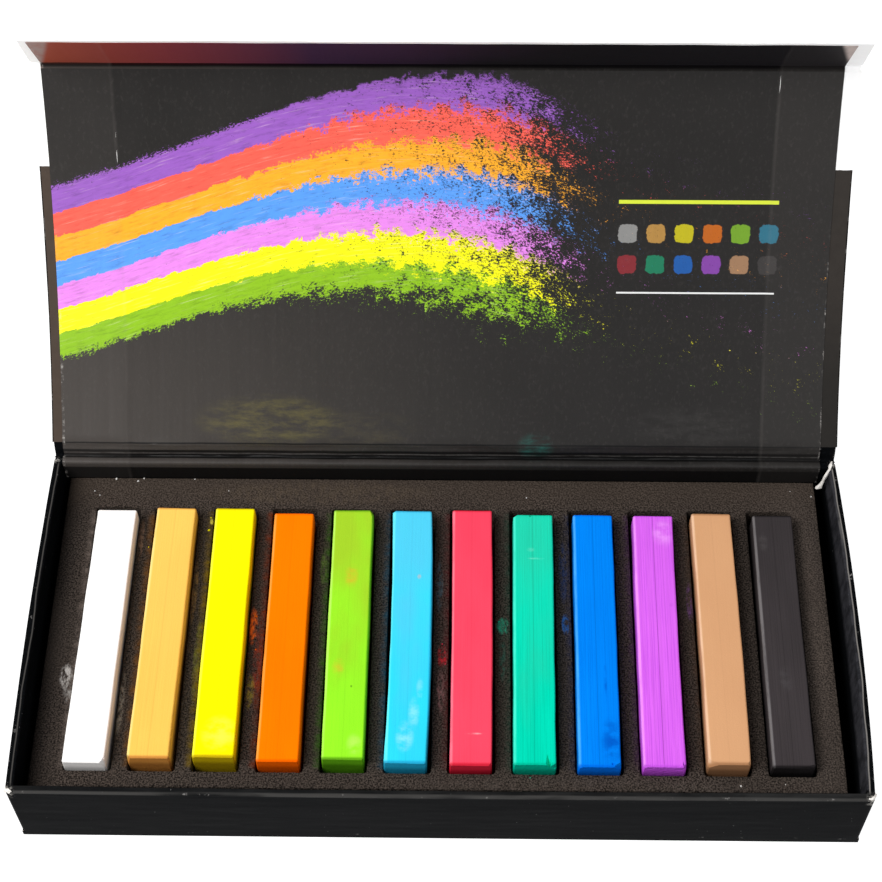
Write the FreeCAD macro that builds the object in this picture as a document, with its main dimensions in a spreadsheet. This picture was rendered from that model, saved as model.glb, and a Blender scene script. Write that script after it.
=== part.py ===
import FreeCAD
import Part
import Sketcher
import math
import os
import re
from FreeCAD import Placement, Rotation, Vector

# A hinged presentation box for twelve square soft pastels, drawn with its lid standing open.
#
# The box is made the way a bookbinder's case is made. Four flat boards (base, spine, lid and
# flap) are joined by one sheet of cover paper, which leaves a narrow gutter of bare paper
# between each two boards, and these gutters are the hinges. A folded greyboard tray, wrapped in
# black paper, is glued on the base and against the spine. A printed liner covers the inside of
# the flap and the lid, crosses the hinge and ends down the tray's back wall. Two magnets in the
# flap meet two steel discs in the tray's front wall.
#
# Frame: origin at the centre of the tray's footprint on the table, X to the right, Y to the
# back, Z up. Millimetres and degrees.

doc = FreeCAD.newDocument("pastel_box")
sheet = doc.addObject("Spreadsheet::Sheet", "sizes")

# ---------------------------------------------------------------------------------------------
# Driving dimensions
# ---------------------------------------------------------------------------------------------

PASTEL_COUNT = 12

DRIVING = [
    ("wall_board", 1.3, "greyboard of the tray"),
    ("case_board", 1.5, "greyboard of base, spine, lid and flap"),
    ("paper", 0.15, "cover paper, tray wrap and liners"),
    ("tape", 0.1, "paper tape over the tray's corners, under the wrap"),
    ("rim_round", 0.35, "rounding of the wrapped rim"),
    ("corner_round", 0.9, "rounding of the wrapped upright corners"),
    ("tape_leg", 11.0, "each leg of a corner tape"),
    ("turn_under", 12.0, "wrap glued under the tray"),
    ("turn_in", 18.3, "cover paper turned over the edge of a board"),
    ("spine_drop", 1.1, "rim to the top of the spine board"),
    ("stick_width", 9.7, "square pastel at its base"),
    ("stick_taper", 0.4, "how much narrower its top is, for release from the mould"),
    ("stick_height", 9.8, "square pastel, bottom to top"),
    ("stick_length", 65.9, "usual length of a pastel"),
    ("slot_side_play", 0.9, "slot wider than the pastel"),
    ("slot_end_play", 2.7, "slot longer than the pastel"),
    ("slot_depth", 6.3, "thickness of the slotted foam, through which the slots are cut"),
    ("slot_web", 3.58, "foam left between two slots"),
    ("left_margin", 7.5, "left edge of the insert to the first slot"),
    ("right_margin", 6.42, "last slot to the right edge of the insert"),
    ("front_margin", 3.9, "front edge of the insert to the slots"),
    ("back_margin", 8.6, "slots to the back edge of the insert"),
    ("backing_height", 7.25, "plain foam under the slotted foam"),
    ("foam_drop", 6.1, "rim to the top of the insert"),
    ("foam_left_gap", 1.3, "insert to the tray's left wall"),
    ("foam_right_gap", 2.6, "insert to the tray's right wall"),
    ("foam_front_gap", 2.5, "insert to the tray's front wall"),
    ("foam_back_gap", 0.2, "insert to the tray's back wall"),
    ("stick_edge", 0.45, "rounding along the pastel"),
    ("stick_end", 0.3, "bevel at the ends of the pastel"),
    ("stick_start", 1.0, "front end of the slot to the front end of a pastel"),
    ("chip_size", 2.6, "corner broken off the teal pastel"),
    ("chip_drop", 2.2, "depth of that break"),
    ("hinge_back", 0.1, "lid axis behind the spine's cover paper"),
    ("hinge_lift", 1.2, "lid axis above the rim"),
    ("lid_clearance", 0.3, "rim to the liner of the closed lid"),
    ("hinge_gutter", 1.5, "lid axis to the edge of the lid board"),
    ("lid_overhang", 0.3, "lid beyond the tray on each side"),
    ("lid_open", 128.5, "how far the lid stands open, from closed"),
    ("lid_bow", 4.5, "how far the middle of the lid has bowed back"),
    ("flap_length", 17.6, "flap axis to the free edge of the flap"),
    ("lid_end_gutter", 2.4, "front edge of the lid board to the flap axis"),
    ("flap_gutter", 1.6, "flap axis to the edge of the flap board"),
    ("flap_stand_off", 1.8, "tray front to the closed flap"),
    ("flap_corner", 113.0, "angle between the lid and the flap as it stands"),
    ("liner_left", 2.4, "border of cover paper left of the liner"),
    ("liner_right", 4.0, "border of cover paper right of the liner"),
    ("liner_edge", 1.4, "border beyond the liner on the flap's free edge"),
    ("liner_hang", 6.3, "liner down the inside of the back wall"),
    ("liner_crease", 1.0, "back wall to the crease of the liner behind it"),
    ("magnet_width", 10.0, "diameter of a flap magnet"),
    ("magnet_height", 1.2, "thickness of a flap magnet"),
    ("magnet_reach", 9.8, "flap axis to the middle of a magnet"),
    ("magnet_inset", 36.0, "end of the tray to the middle of a magnet"),
    ("strike_width", 12.0, "diameter of a steel disc in the tray front"),
    ("strike_height", 0.9, "thickness of a steel disc"),
]

DERIVED = [
    ("wrap", "=paper + tape", "board face to the outside of the wrap"),
    ("wall", "=wall_board + 2 * wrap", "wrapped wall"),
    ("tape_round", "=corner_round - paper", "rounding of the taped upright corners"),
    ("board_round", "=corner_round - wrap", "rounding of the tray board's upright corners"),
    ("slot_width", "=stick_width + slot_side_play", "slot, across the pastel"),
    ("slot_length", "=stick_length + slot_end_play", "slot, along the pastel"),
    ("slot_pitch", "=slot_width + slot_web", "one slot to the next"),
    ("foam_length", f"={PASTEL_COUNT} * slot_pitch - slot_web + left_margin + right_margin",
     "foam insert, left to right"),
    ("foam_depth", "=front_margin + slot_length + back_margin", "insert, front to back"),
    ("tray_length", "=foam_length + foam_left_gap + foam_right_gap + 2 * wall",
     "outside of the tray, left to right"),
    ("tray_depth", "=foam_depth + foam_front_gap + foam_back_gap + 2 * wall",
     "outside of the tray, front to back"),
    ("half_length", "=tray_length / 2", "middle to the left or right outside"),
    ("half_depth", "=tray_depth / 2", "middle to the front or back outside"),
    ("base_top", "=paper + case_board", "top of the base board"),
    ("floor_bottom", "=base_top + wrap", "underside of the tray board"),
    ("floor_top", "=floor_bottom + wall_board", "inside of the tray board"),
    ("foam_base", "=floor_top + paper", "underside of the foam"),
    ("slot_floor", "=foam_base + backing_height", "what the pastels lie on"),
    ("foam_top", "=slot_floor + slot_depth", "top of the foam"),
    ("tray_height", "=foam_top + foam_drop", "table to rim"),
    ("board_rim", "=tray_height - wrap", "top of the tray's walls, under the wrap"),
    ("foam_left", "=wall + foam_left_gap - half_length", "left of the insert"),
    ("foam_right", "=foam_left + foam_length", "right of the insert"),
    ("foam_front", "=wall + foam_front_gap - half_depth", "front of the insert"),
    ("foam_back", "=foam_front + foam_depth", "back of the insert"),
    ("slot_front", "=foam_front + front_margin", "front ends of the slots"),
    ("first_slot", "=foam_left + left_margin + slot_width / 2", "middle of the first slot"),
    ("spine_front", "=half_depth + paper", "front face of the spine board"),
    ("spine_back", "=spine_front + case_board", "back face of the spine board"),
    ("case_back", "=spine_back + paper", "back of the whole box"),
    ("spine_top", "=tray_height - spine_drop", "top of the spine board"),
    ("lid_axis_y", "=case_back + hinge_back", "lid axis"),
    ("lid_axis_z", "=tray_height + hinge_lift", "lid axis"),
    ("lid_rise", "=180 - lid_open", "lid above the flat, as it stands"),
    ("lid_half", "=half_length + lid_overhang", "middle to the side of the lid"),
    ("lid_liner_face", "=hinge_lift - lid_clearance", "lid axis to the liner's face"),
    ("lid_fold_face", "=lid_liner_face - paper", "turned-in paper's face"),
    ("lid_board_face", "=lid_fold_face - paper", "inner face of the lid board"),
    ("lid_board_back", "=lid_board_face - case_board", "outer face of the lid board"),
    ("lid_cover_back", "=lid_board_back - paper", "outside of the lid"),
    ("flap_liner_face", "=case_board + 2 * paper", "flap axis to the liner's face"),
    ("flap_fold_face", "=case_board + paper", "turned-in paper's face"),
    ("flap_axis", "=lid_axis_y + half_depth + flap_stand_off + flap_liner_face",
     "lid axis to the flap axis, which lies in the outer face of both boards"),
    ("lid_end", "=flap_axis - lid_end_gutter", "front edge of the lid board"),
    ("bow_chord", "=lid_end - hinge_gutter", "lid board, hinge edge to front edge"),
    ("bow_radius", "=(bow_chord ^ 2 / 4 + lid_bow ^ 2) / (2 * lid_bow)", "bend of the lid board"),
    ("flap_rise", "=lid_rise + 180 - flap_corner", "flap above the flat, as it stands"),
    ("flap_axis_y", "=lid_axis_y + flap_axis * cos(lid_rise * 1deg)"
     " - lid_board_back * sin(lid_rise * 1deg)", "flap axis"),
    ("flap_axis_z", "=lid_axis_z + flap_axis * sin(lid_rise * 1deg)"
     " + lid_board_back * cos(lid_rise * 1deg)", "flap axis"),
    ("liner_from", "=liner_left - lid_half", "left edge of the liner"),
    ("liner_to", "=lid_half - liner_right", "right edge of the liner"),
    ("strike_level", "=lid_axis_z - lid_board_back - magnet_reach", "middle of the steel discs"),
]

for row, (alias, size, note) in enumerate(DRIVING + DERIVED, start=1):
    sheet.set(f"A{row}", alias)
    sheet.set(f"B{row}", str(size))
    sheet.set(f"C{row}", note)
    sheet.setAlias(f"B{row}", alias)
doc.recompute()

gauge = doc.addObject("App::FeaturePython", "gauge")
gauge.addProperty("App::PropertyFloat", "Reading")


def tied(text):
    """The expression that ties a property to named sizes, written without the sheet's name."""
    return re.sub(r"[a-z][a-z_]+", lambda word: "sizes." + word.group(0), text)


def size(text):
    """The present value of such an expression, read off a gauge that is tied to it."""
    gauge.setExpression("Reading", tied(text))
    gauge.recompute()
    return gauge.Reading


# ---------------------------------------------------------------------------------------------
# Ways of making a piece
# ---------------------------------------------------------------------------------------------


def new_body(name):
    """An empty body whose label becomes the name of its file."""
    body = doc.addObject("PartDesign::Body", name)
    body.Label = name
    return body


def plane_of(body, role):
    """One of the body's own origin planes."""
    return next(item for item in body.Origin.OriginFeatures if item.Role == role)


def new_sketch(body, name, role, level="0"):
    """A sketch on an origin plane of the body, raised to a level along the plane's normal."""
    sketch = body.newObject("Sketcher::SketchObject", name)
    sketch.AttachmentSupport = [(plane_of(body, role), "")]
    sketch.MapMode = "FlatFace"
    sketch.setExpression("AttachmentOffset.Base.z", tied(level))
    return sketch


def pin_point(sketch, line, across, along, end=1):
    """Fix the start (or end 2) of a line by two named sizes, measured from the origin."""
    for kind, text in (("DistanceX", across), ("DistanceY", along)):
        number = sketch.addConstraint(Sketcher.Constraint(kind, -1, 1, line, end, size(text)))
        sketch.setExpression(f"Constraints[{number}]", tied(text))


def bowed_profile(sketch, bottom, top):
    """The lid board's side view between two levels: one arc under it and the same arc over it."""
    (left, low), (right, high) = ((size("hinge_gutter"), size(bottom)),
                                  (size("lid_end"), size(top)))
    middle, bow = (left + right) / 2, size("lid_bow")
    sketch.addGeometry(Part.Arc(Vector(left, low, 0), Vector(middle, low - bow, 0),
                                Vector(right, low, 0)), False)
    sketch.addGeometry(Part.LineSegment(Vector(right, low, 0), Vector(right, high, 0)), False)
    sketch.addGeometry(Part.LineSegment(Vector(left, high, 0), Vector(left, low, 0)), False)
    sketch.addGeometry(Part.Arc(Vector(left, high, 0), Vector(middle, high - bow, 0),
                                Vector(right, high, 0)), False)
    under, front, hinge, over = range(4)
    for first, end, second, start in ((under, 2, front, 1), (front, 2, over, 2),
                                      (over, 1, hinge, 1), (hinge, 2, under, 1)):
        sketch.addConstraint(Sketcher.Constraint("Coincident", first, end, second, start))
    sketch.addConstraint(Sketcher.Constraint("Vertical", front))
    pin_point(sketch, under, "hinge_gutter", bottom)
    pin_point(sketch, front, "lid_end", bottom)
    pin_point(sketch, hinge, "hinge_gutter", top)
    for arc in (under, over):
        number = sketch.addConstraint(Sketcher.Constraint("Radius", arc, size("bow_radius")))
        sketch.setExpression(f"Constraints[{number}]", tied("bow_radius"))
    number = sketch.addConstraint(Sketcher.Constraint("DistanceY", front, 1, front, 2,
                                                      high - low))
    sketch.setExpression(f"Constraints[{number}]", tied(f"({top}) - ({bottom})"))


def bowed_block(body, name, across, upward, cut=False):
    """A block with the length and the bend of the lid board, added to a body or cut from it."""
    (left, right), (bottom, top) = across, upward
    sketch = new_sketch(body, name + "_sketch", "YZ_Plane", left)
    bowed_profile(sketch, bottom, top)
    return raised(body, name, sketch, f"({right}) - ({left})", cut)


def polygon(sketch, corners):
    """A closed outline through corners that are each given as two expressions."""
    points = [Vector(size(across), size(along), 0) for across, along in corners]
    for here, there in zip(points, points[1:] + points[:1]):
        sketch.addGeometry(Part.LineSegment(here, there), False)
    for line in range(len(points)):
        following = (line + 1) % len(points)
        sketch.addConstraint(Sketcher.Constraint("Coincident", line, 2, following, 1))
    for line, (across, along) in enumerate(corners):
        pin_point(sketch, line, across, along)


def rounded_rectangle(sketch, half_x, half_y, radius):
    """A closed rectangle about the middle, with its corners rounded."""
    reach_x, reach_y = f"{half_x} - {radius}", f"{half_y} - {radius}"
    sides = [(f"0 - ({reach_x})", f"0 - ({half_y})", reach_x, f"0 - ({half_y})"),
             (half_x, f"0 - ({reach_y})", half_x, reach_y),
             (reach_x, half_y, f"0 - ({reach_x})", half_y),
             (f"0 - ({half_x})", reach_y, f"0 - ({half_x})", f"0 - ({reach_y})")]
    for side, ends in enumerate(sides):
        x, y, far_x, far_y = (size(text) for text in ends)
        sketch.addGeometry(Part.LineSegment(Vector(x, y, 0), Vector(far_x, far_y, 0)), False)
        pin_point(sketch, side, *ends[:2])
        pin_point(sketch, side, *ends[2:], end=2)
    for side in range(4):
        following = (side + 1) % 4
        here = sketch.Geometry[side].EndPoint
        there = sketch.Geometry[following].StartPoint
        tip = Vector(there.x, here.y, 0) if side % 2 == 0 else Vector(here.x, there.y, 0)
        centre = here + there - tip
        arc = sketch.addGeometry(Part.Arc(here, centre + (tip - centre) / math.sqrt(2), there),
                                 False)
        sketch.addConstraint(Sketcher.Constraint("Coincident", side, 2, arc, 1))
        sketch.addConstraint(Sketcher.Constraint("Coincident", arc, 2, following, 1))
        number = sketch.addConstraint(Sketcher.Constraint("Radius", arc, size(radius)))
        sketch.setExpression(f"Constraints[{number}]", tied(radius))


def rectangle(sketch, across, along):
    """A closed rectangle between two expressions each way."""
    (left, right), (near, far) = across, along
    polygon(sketch, [(left, near), (right, near), (right, far), (left, far)])


def block(body, name, across, along, upward, cut=False):
    """A square-edged block added to a body, or cut out of it, given by its range each way."""
    bottom, top = upward
    sketch = new_sketch(body, name + "_sketch", "XY_Plane", bottom)
    rectangle(sketch, across, along)
    return raised(body, name, sketch, f"({top}) - ({bottom})", cut)


def raised(body, name, sketch, length, cut):
    """Carry a profile along its normal, to add to the body or to cut from it."""
    kind = "PartDesign::Pocket" if cut else "PartDesign::Pad"
    feature = body.newObject(kind, name)
    feature.Profile = sketch
    feature.Reversed = cut
    feature.setExpression("Length", tied(length))
    before = volume_of(body)
    doc.recompute()
    after = feature.Shape.Volume
    if (after >= before) if cut else (after <= before):
        raise RuntimeError(f"{body.Label}: {name} changes nothing")
    return feature


def volume_of(body):
    """Volume so far, or none for an empty body."""
    return body.Shape.Volume if body.Shape.Solids else 0.0


def span(half):
    """The range that lies evenly about the middle."""
    return (f"0 - ({half})", half)


def edges_where(feature, test):
    """Names of the straight edges of a feature whose end points pass a test."""
    found = []
    for number, edge in enumerate(feature.Shape.Edges, start=1):
        ends = [vertex.Point for vertex in edge.Vertexes]
        if len(ends) == 2 and test(*ends):
            found.append(f"Edge{number}")
    return found


def soften(body, kind, name, edges, radius):
    """Round or bevel some edges of the body's last feature."""
    last = body.Tip
    feature = body.newObject(f"PartDesign::{kind}", name)
    feature.Base = (last, edges)
    feature.setExpression("Radius" if kind == "Fillet" else "Size", tied(radius))
    body.Tip = feature
    doc.recompute()
    return feature


def same(first, second):
    """Whether two lengths agree."""
    return abs(first - second) < 1e-4


def upright(here, there):
    """Whether an edge runs straight up."""
    return same(here.x, there.x) and same(here.y, there.y)


def stand_on(body, axis, along, up, angle):
    """Turn a body about X and carry its origin to an axis, all by named sizes."""
    body.Placement = Placement(Vector(0, 0, 0), Rotation(axis, 1))
    body.setExpression("Placement.Base.y", tied(along))
    body.setExpression("Placement.Base.z", tied(up))
    body.setExpression("Placement.Rotation.Angle", tied(angle))


def on_lid(body):
    """Lid pieces are drawn lying open and flat, hinge at the origin and liner up."""
    stand_on(body, Vector(1, 0, 0), "lid_axis_y", "lid_axis_z", "lid_rise")


def on_flap(body):
    """Flap pieces are drawn lying open and flat, with the flap's axis at the origin."""
    stand_on(body, Vector(1, 0, 0), "flap_axis_y", "flap_axis_z", "flap_rise")


# ---------------------------------------------------------------------------------------------
# Case: base and spine
# ---------------------------------------------------------------------------------------------


def make_base_board():
    body = new_body("base_board")
    block(body, "board", span("half_length - paper"), span("half_depth - paper"),
          ("paper", "base_top"))


def make_spine_board():
    """The spine stands behind the tray, from the cover paper up to a little under the rim."""
    body = new_body("spine_board")
    block(body, "board", span("half_length - paper"), ("spine_front", "spine_back"),
          ("paper", "spine_top"))


def make_base_cover_paper():
    """Cover paper under the base and the foot of the spine, folded up round their edges."""
    body = new_body("base_cover_paper")
    block(body, "sheet", span("half_length"), ("0 - half_depth", "case_back"), ("0", "base_top"))
    block(body, "room_for_boards", span("half_length - paper"),
          ("paper - half_depth", "spine_back"), ("paper", "base_top"), cut=True)


def make_spine_cover_paper():
    """The same sheet going on up the back of the spine and round its two ends."""
    body = new_body("spine_cover_paper")
    block(body, "sheet", span("half_length"), ("spine_front", "case_back"),
          ("base_top", "spine_top"))
    block(body, "room_for_board", span("half_length - paper"), ("spine_front", "spine_back"),
          ("base_top", "spine_top"), cut=True)


# ---------------------------------------------------------------------------------------------
# Tray
# ---------------------------------------------------------------------------------------------


def make_tray_board():
    """Greyboard folded into an open box, with two shallow seats for the steel discs."""
    body = new_body("tray_board")
    block(body, "blank", span("half_length - wrap"), span("half_depth - wrap"),
          ("floor_bottom", "board_rim"))
    soften(body, "Fillet", "round_corners", edges_where(body.Tip, upright), "board_round")
    block(body, "inside", span("half_length - wrap - wall_board"),
          span("half_depth - wrap - wall_board"), ("floor_top", "board_rim"), cut=True)
    seats = new_sketch(body, "seat_sketch", "XZ_Plane", "half_depth - wrap - strike_height")
    for index, side in enumerate(("magnet_inset - half_length", "half_length - magnet_inset")):
        add_circle(seats, index, side, "strike_level", "strike_width")
    pocket = body.newObject("PartDesign::Pocket", "disc_seats")
    pocket.Profile = seats
    pocket.Reversed = True
    pocket.setExpression("Length", tied("strike_height"))
    doc.recompute()


def add_circle(sketch, index, across, along, diameter):
    """A circle placed and sized by expressions."""
    centre = Vector(size(across), size(along), 0)
    sketch.addGeometry(Part.Circle(centre, Vector(0, 0, 1), size(diameter) / 2), False)
    for kind, text in (("DistanceX", across), ("DistanceY", along)):
        number = sketch.addConstraint(Sketcher.Constraint(kind, -1, 1, index, 3, size(text)))
        sketch.setExpression(f"Constraints[{number}]", tied(text))
    number = sketch.addConstraint(Sketcher.Constraint("Diameter", index, size(diameter)))
    sketch.setExpression(f"Constraints[{number}]", tied(diameter))


def make_strike_plates():
    for name, side in (("strike_disc_left", "magnet_inset - half_length"),
                       ("strike_disc_right", "half_length - magnet_inset")):
        disc = doc.addObject("Part::Cylinder", name)
        disc.Label = name
        disc.setExpression("Radius", tied("strike_width / 2"))
        disc.setExpression("Height", tied("strike_height"))
        disc.Placement = Placement(Vector(0, 0, 0), Rotation(Vector(1, 0, 0), -90))
        disc.setExpression("Placement.Base.x", tied(side))
        disc.setExpression("Placement.Base.y", tied("wrap - half_depth"))
        disc.setExpression("Placement.Base.z", tied("strike_level"))


def make_corner_tapes():
    """Four strips of paper tape, each folded round an upright corner of the tray board."""
    ring = new_body("tape_ring")
    height = "board_rim - floor_bottom"
    for name, inset, radius, cut in (("tape", "paper", "tape_round", False),
                                     ("room_for_board", "wrap", "board_round", True)):
        sketch = new_sketch(ring, name + "_sketch", "XY_Plane", "floor_bottom")
        rounded_rectangle(sketch, f"half_length - {inset}", f"half_depth - {inset}", radius)
        raised(ring, name, sketch, height, cut)
    gaps = []
    for name, half_x, half_y in (
        ("tape_gap_front_back", "half_length - wrap - tape_leg", "half_depth"),
        ("tape_gap_left_right", "half_length", "half_depth - wrap - tape_leg"),
    ):
        box = doc.addObject("Part::Box", name)
        box.setExpression("Length", tied(f"2 * ({half_x})"))
        box.setExpression("Width", tied(f"2 * ({half_y})"))
        box.setExpression("Height", tied("board_rim - floor_bottom"))
        box.setExpression("Placement.Base.x", tied(f"0 - ({half_x})"))
        box.setExpression("Placement.Base.y", tied(f"0 - ({half_y})"))
        box.setExpression("Placement.Base.z", tied("floor_bottom"))
        gaps.append(box)
    away = doc.addObject("Part::MultiFuse", "tape_gaps")
    away.Shapes = gaps
    tapes = doc.addObject("Part::Cut", "corner_tapes")
    tapes.Label = "corner_tapes"
    tapes.Base = ring
    tapes.Tool = away


def make_tray_wrap():
    """Black paper round the walls, over the rim, down the inside and under the floor's edge."""
    body = new_body("tray_wrap")
    block(body, "outside", span("half_length"), span("half_depth"), ("base_top", "tray_height"))
    corners = edges_where(body.Tip, upright)
    soften(body, "Fillet", "round_corners", corners, "corner_round")
    block(body, "hollow", span("half_length - wall"), span("half_depth - wall"),
          ("floor_top", "tray_height"), cut=True)
    rim = [f"Edge{number}" for number, edge in enumerate(body.Tip.Shape.Edges, start=1)
           if all(same(vertex.Z, size("tray_height")) for vertex in edge.Vertexes)]
    soften(body, "Fillet", "round_rim", rim, "rim_round")
    walls = new_sketch(body, "wall_sketch", "XY_Plane", "floor_top")
    rounded_rectangle(walls, "half_length - paper", "half_depth - paper", "tape_round")
    add_inner_rectangle(walls, "half_length - wall + paper", "half_depth - wall + paper")
    raised(body, "room_for_walls", walls, "tray_height - paper - floor_top", cut=True)
    floor = new_sketch(body, "floor_sketch", "XY_Plane", "base_top + paper")
    rounded_rectangle(floor, "half_length - paper", "half_depth - paper", "tape_round")
    raised(body, "room_for_floor", floor, "floor_top - base_top - paper", cut=True)
    block(body, "open_bottom", span("half_length - turn_under"), span("half_depth - turn_under"),
          ("base_top - paper", "base_top + paper"), cut=True)


def add_inner_rectangle(sketch, half_x, half_y):
    """A second closed outline inside the first, so that the profile is a ring."""
    corners = [(f"0 - ({half_x})", f"0 - ({half_y})"), (half_x, f"0 - ({half_y})"),
               (half_x, half_y), (f"0 - ({half_x})", half_y)]
    points = [Vector(size(across), size(along), 0) for across, along in corners]
    first = sketch.GeometryCount
    for here, there in zip(points, points[1:] + points[:1]):
        sketch.addGeometry(Part.LineSegment(here, there), False)
    for step in range(4):
        sketch.addConstraint(Sketcher.Constraint("Coincident", first + step, 2,
                                                 first + (step + 1) % 4, 1))
    for step, (across, along) in enumerate(corners):
        pin_point(sketch, first + step, across, along)


def make_floor_lining():
    body = new_body("floor_lining")
    block(body, "sheet", span("half_length - wall"), span("half_depth - wall"),
          ("floor_top", "foam_base"))


def make_back_wall_liner():
    """The end of the liner: down the inside of the back wall and across its rim."""
    body = new_body("back_wall_liner")
    block(body, "on_rim", ("liner_from", "liner_to"),
          ("half_depth - wall - paper", "half_depth"), ("tray_height", "tray_height + paper"))
    block(body, "inside_wall", ("liner_from", "liner_to"),
          ("half_depth - wall - paper", "half_depth - wall"),
          ("tray_height - liner_hang", "tray_height"))


# ---------------------------------------------------------------------------------------------
# Foam insert
# ---------------------------------------------------------------------------------------------


def make_foam_backing():
    body = new_body("foam_backing")
    block(body, "slab", ("foam_left", "foam_right"), ("foam_front", "foam_back"),
          ("foam_base", "slot_floor"))


def make_foam_slotted():
    """A second slab with twelve slots cut right through it."""
    body = new_body("foam_slotted")
    block(body, "slab", ("foam_left", "foam_right"), ("foam_front", "foam_back"),
          ("slot_floor", "foam_top"))
    slot = block(body, "slot", ("first_slot - slot_width / 2", "first_slot + slot_width / 2"),
                 ("slot_front", "slot_front + slot_length"), ("slot_floor", "foam_top"),
                 cut=True)
    row = body.newObject("PartDesign::LinearPattern", "slot_row")
    row.Originals = [slot]
    row.Direction = (slot.Profile[0], ["H_Axis"])
    row.Occurrences = PASTEL_COUNT
    row.setExpression("Length", tied(f"{PASTEL_COUNT - 1} * slot_pitch"))
    body.Tip = row
    doc.recompute()


# ---------------------------------------------------------------------------------------------
# Lid and flap
# ---------------------------------------------------------------------------------------------


def make_lid_board():
    """Board that has bowed back between its two hinges, as it does once it has stood open."""
    body = new_body("lid_board")
    bowed_block(body, "board", span("lid_half - paper"), ("lid_board_back", "lid_board_face"))
    on_lid(body)


def make_lid_cover_paper():
    """Cover paper behind the lid board, folded round its sides and turned in over its face."""
    body = new_body("lid_cover_paper")
    bowed_block(body, "sheet", span("lid_half"), ("lid_cover_back", "lid_fold_face"))
    bowed_block(body, "room_for_board", span("lid_half - paper"),
                ("lid_board_back", "lid_board_face"), cut=True)
    bowed_block(body, "between_turn_ins", span("lid_half - turn_in"),
                ("lid_board_face", "lid_fold_face"), cut=True)
    on_lid(body)


def make_lid_liner():
    body = new_body("lid_liner")
    bowed_block(body, "sheet", ("liner_from", "liner_to"), ("lid_fold_face", "lid_liner_face"))
    on_lid(body)


def make_flap_board():
    """Narrow board with a seat through it for each magnet."""
    body = new_body("flap_board")
    block(body, "board", span("lid_half - paper"), ("flap_gutter", "flap_length - paper"),
          ("0", "case_board"))
    seats = new_sketch(body, "seat_sketch", "XY_Plane", "case_board - magnet_height")
    for index, side in enumerate(("magnet_inset - half_length", "half_length - magnet_inset")):
        add_circle(seats, index, side, "magnet_reach", "magnet_width")
    pocket = body.newObject("PartDesign::Pocket", "magnet_seats")
    pocket.Profile = seats
    pocket.Reversed = True
    pocket.setExpression("Length", tied("magnet_height"))
    doc.recompute()
    on_flap(body)


def make_magnets():
    for name, side in (("magnet_left", "magnet_inset - half_length"),
                       ("magnet_right", "half_length - magnet_inset")):
        body = new_body(name)
        sketch = new_sketch(body, name + "_sketch", "XY_Plane", "case_board - magnet_height")
        add_circle(sketch, 0, side, "magnet_reach", "magnet_width")
        disc = body.newObject("PartDesign::Pad", name + "_disc")
        disc.Profile = sketch
        disc.setExpression("Length", tied("magnet_height"))
        doc.recompute()
        on_flap(body)


def make_flap_cover_paper():
    """Cover paper behind the flap board, folded round its two ends and its free edge."""
    body = new_body("flap_cover_paper")
    block(body, "sheet", span("lid_half"), ("flap_gutter", "flap_length"),
          ("0 - paper", "flap_fold_face"))
    free = size("flap_length")
    folds = edges_where(body.Tip, lambda a, b: same(a.z, b.z)
                        and (same(a.x, b.x) or (same(a.y, free) and same(b.y, free))))
    soften(body, "Fillet", "folded_edges", folds, "paper")
    block(body, "room_for_board", span("lid_half - paper"),
          ("flap_gutter", "flap_length - paper"), ("0", "case_board"), cut=True)
    block(body, "between_turn_ins", span("lid_half - turn_in"),
          ("flap_gutter", "flap_length - flap_gutter - paper"),
          ("case_board", "flap_fold_face"), cut=True)
    on_flap(body)


def make_flap_liner():
    body = new_body("flap_liner")
    block(body, "sheet", ("liner_from", "liner_to"), ("flap_gutter", "flap_length - liner_edge"),
          ("flap_fold_face", "flap_liner_face"))
    on_flap(body)


# ---------------------------------------------------------------------------------------------
# Paper hinges: each a strip of bare paper bent across the gutter between two boards
# ---------------------------------------------------------------------------------------------


def on_board(axis, along, up):
    """A point of the standing lid or flap, given in the frame in which that board is drawn."""
    axis_along, axis_up, rise = (size(name) for name in axis)
    point = Rotation(Vector(1, 0, 0), rise).multVec(Vector(0, size(along), size(up)))
    return point + Vector(0, axis_along, axis_up)


def crossing(first, first_rise, second, second_rise):
    """Where two sheets would meet, from a point on each and its slope."""
    run = [Vector(0, math.cos(math.radians(rise)), math.sin(math.radians(rise)))
           for rise in (first_rise, second_rise)]
    between = second - first
    reach = (between.y * run[1].z - between.z * run[1].y) / (run[0].y * run[1].z
                                                             - run[0].z * run[1].y)
    return first + run[0] * reach


def bent_strip(name, start, crease, finish, thickness, across):
    """A strip of paper of even thickness from one edge over a crease to another edge.

    The three points lie on its inner face, and the thickness goes outwards, or inwards if it
    is less than none.
    """
    line = Part.Wire(Part.makePolygon([start, crease, finish]).Edges)
    profile = line.makeOffset2D(size(thickness), fill=True, openResult=True)
    left, right = across
    profile.translate(Vector(size(left), 0, 0))
    strip = doc.addObject("Part::Feature", name)
    strip.Label = name
    strip.Shape = profile.extrude(Vector(size(right) - size(left), 0, 0))


LID = ("lid_axis_y", "lid_axis_z", "lid_rise")
FLAP = ("flap_axis_y", "flap_axis_z", "flap_rise")


def make_hinge_strips():
    """Cover paper behind the lid's gutter, and liner in front of it."""
    start = Vector(0, size("spine_back"), size("spine_top"))
    finish = on_board(LID, "hinge_gutter", "lid_board_back")
    crease = crossing(start, 90, finish, size("lid_rise"))
    bent_strip("lid_hinge_paper", start, crease, finish, "paper", span("half_length"))
    start = Vector(0, size("half_depth"), size("tray_height"))
    finish = on_board(LID, "hinge_gutter", "lid_fold_face")
    crease = start + Vector(0, size("liner_crease"), 0)
    bent_strip("lid_hinge_liner", start, crease, finish, "0 - paper", ("liner_from", "liner_to"))


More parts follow.
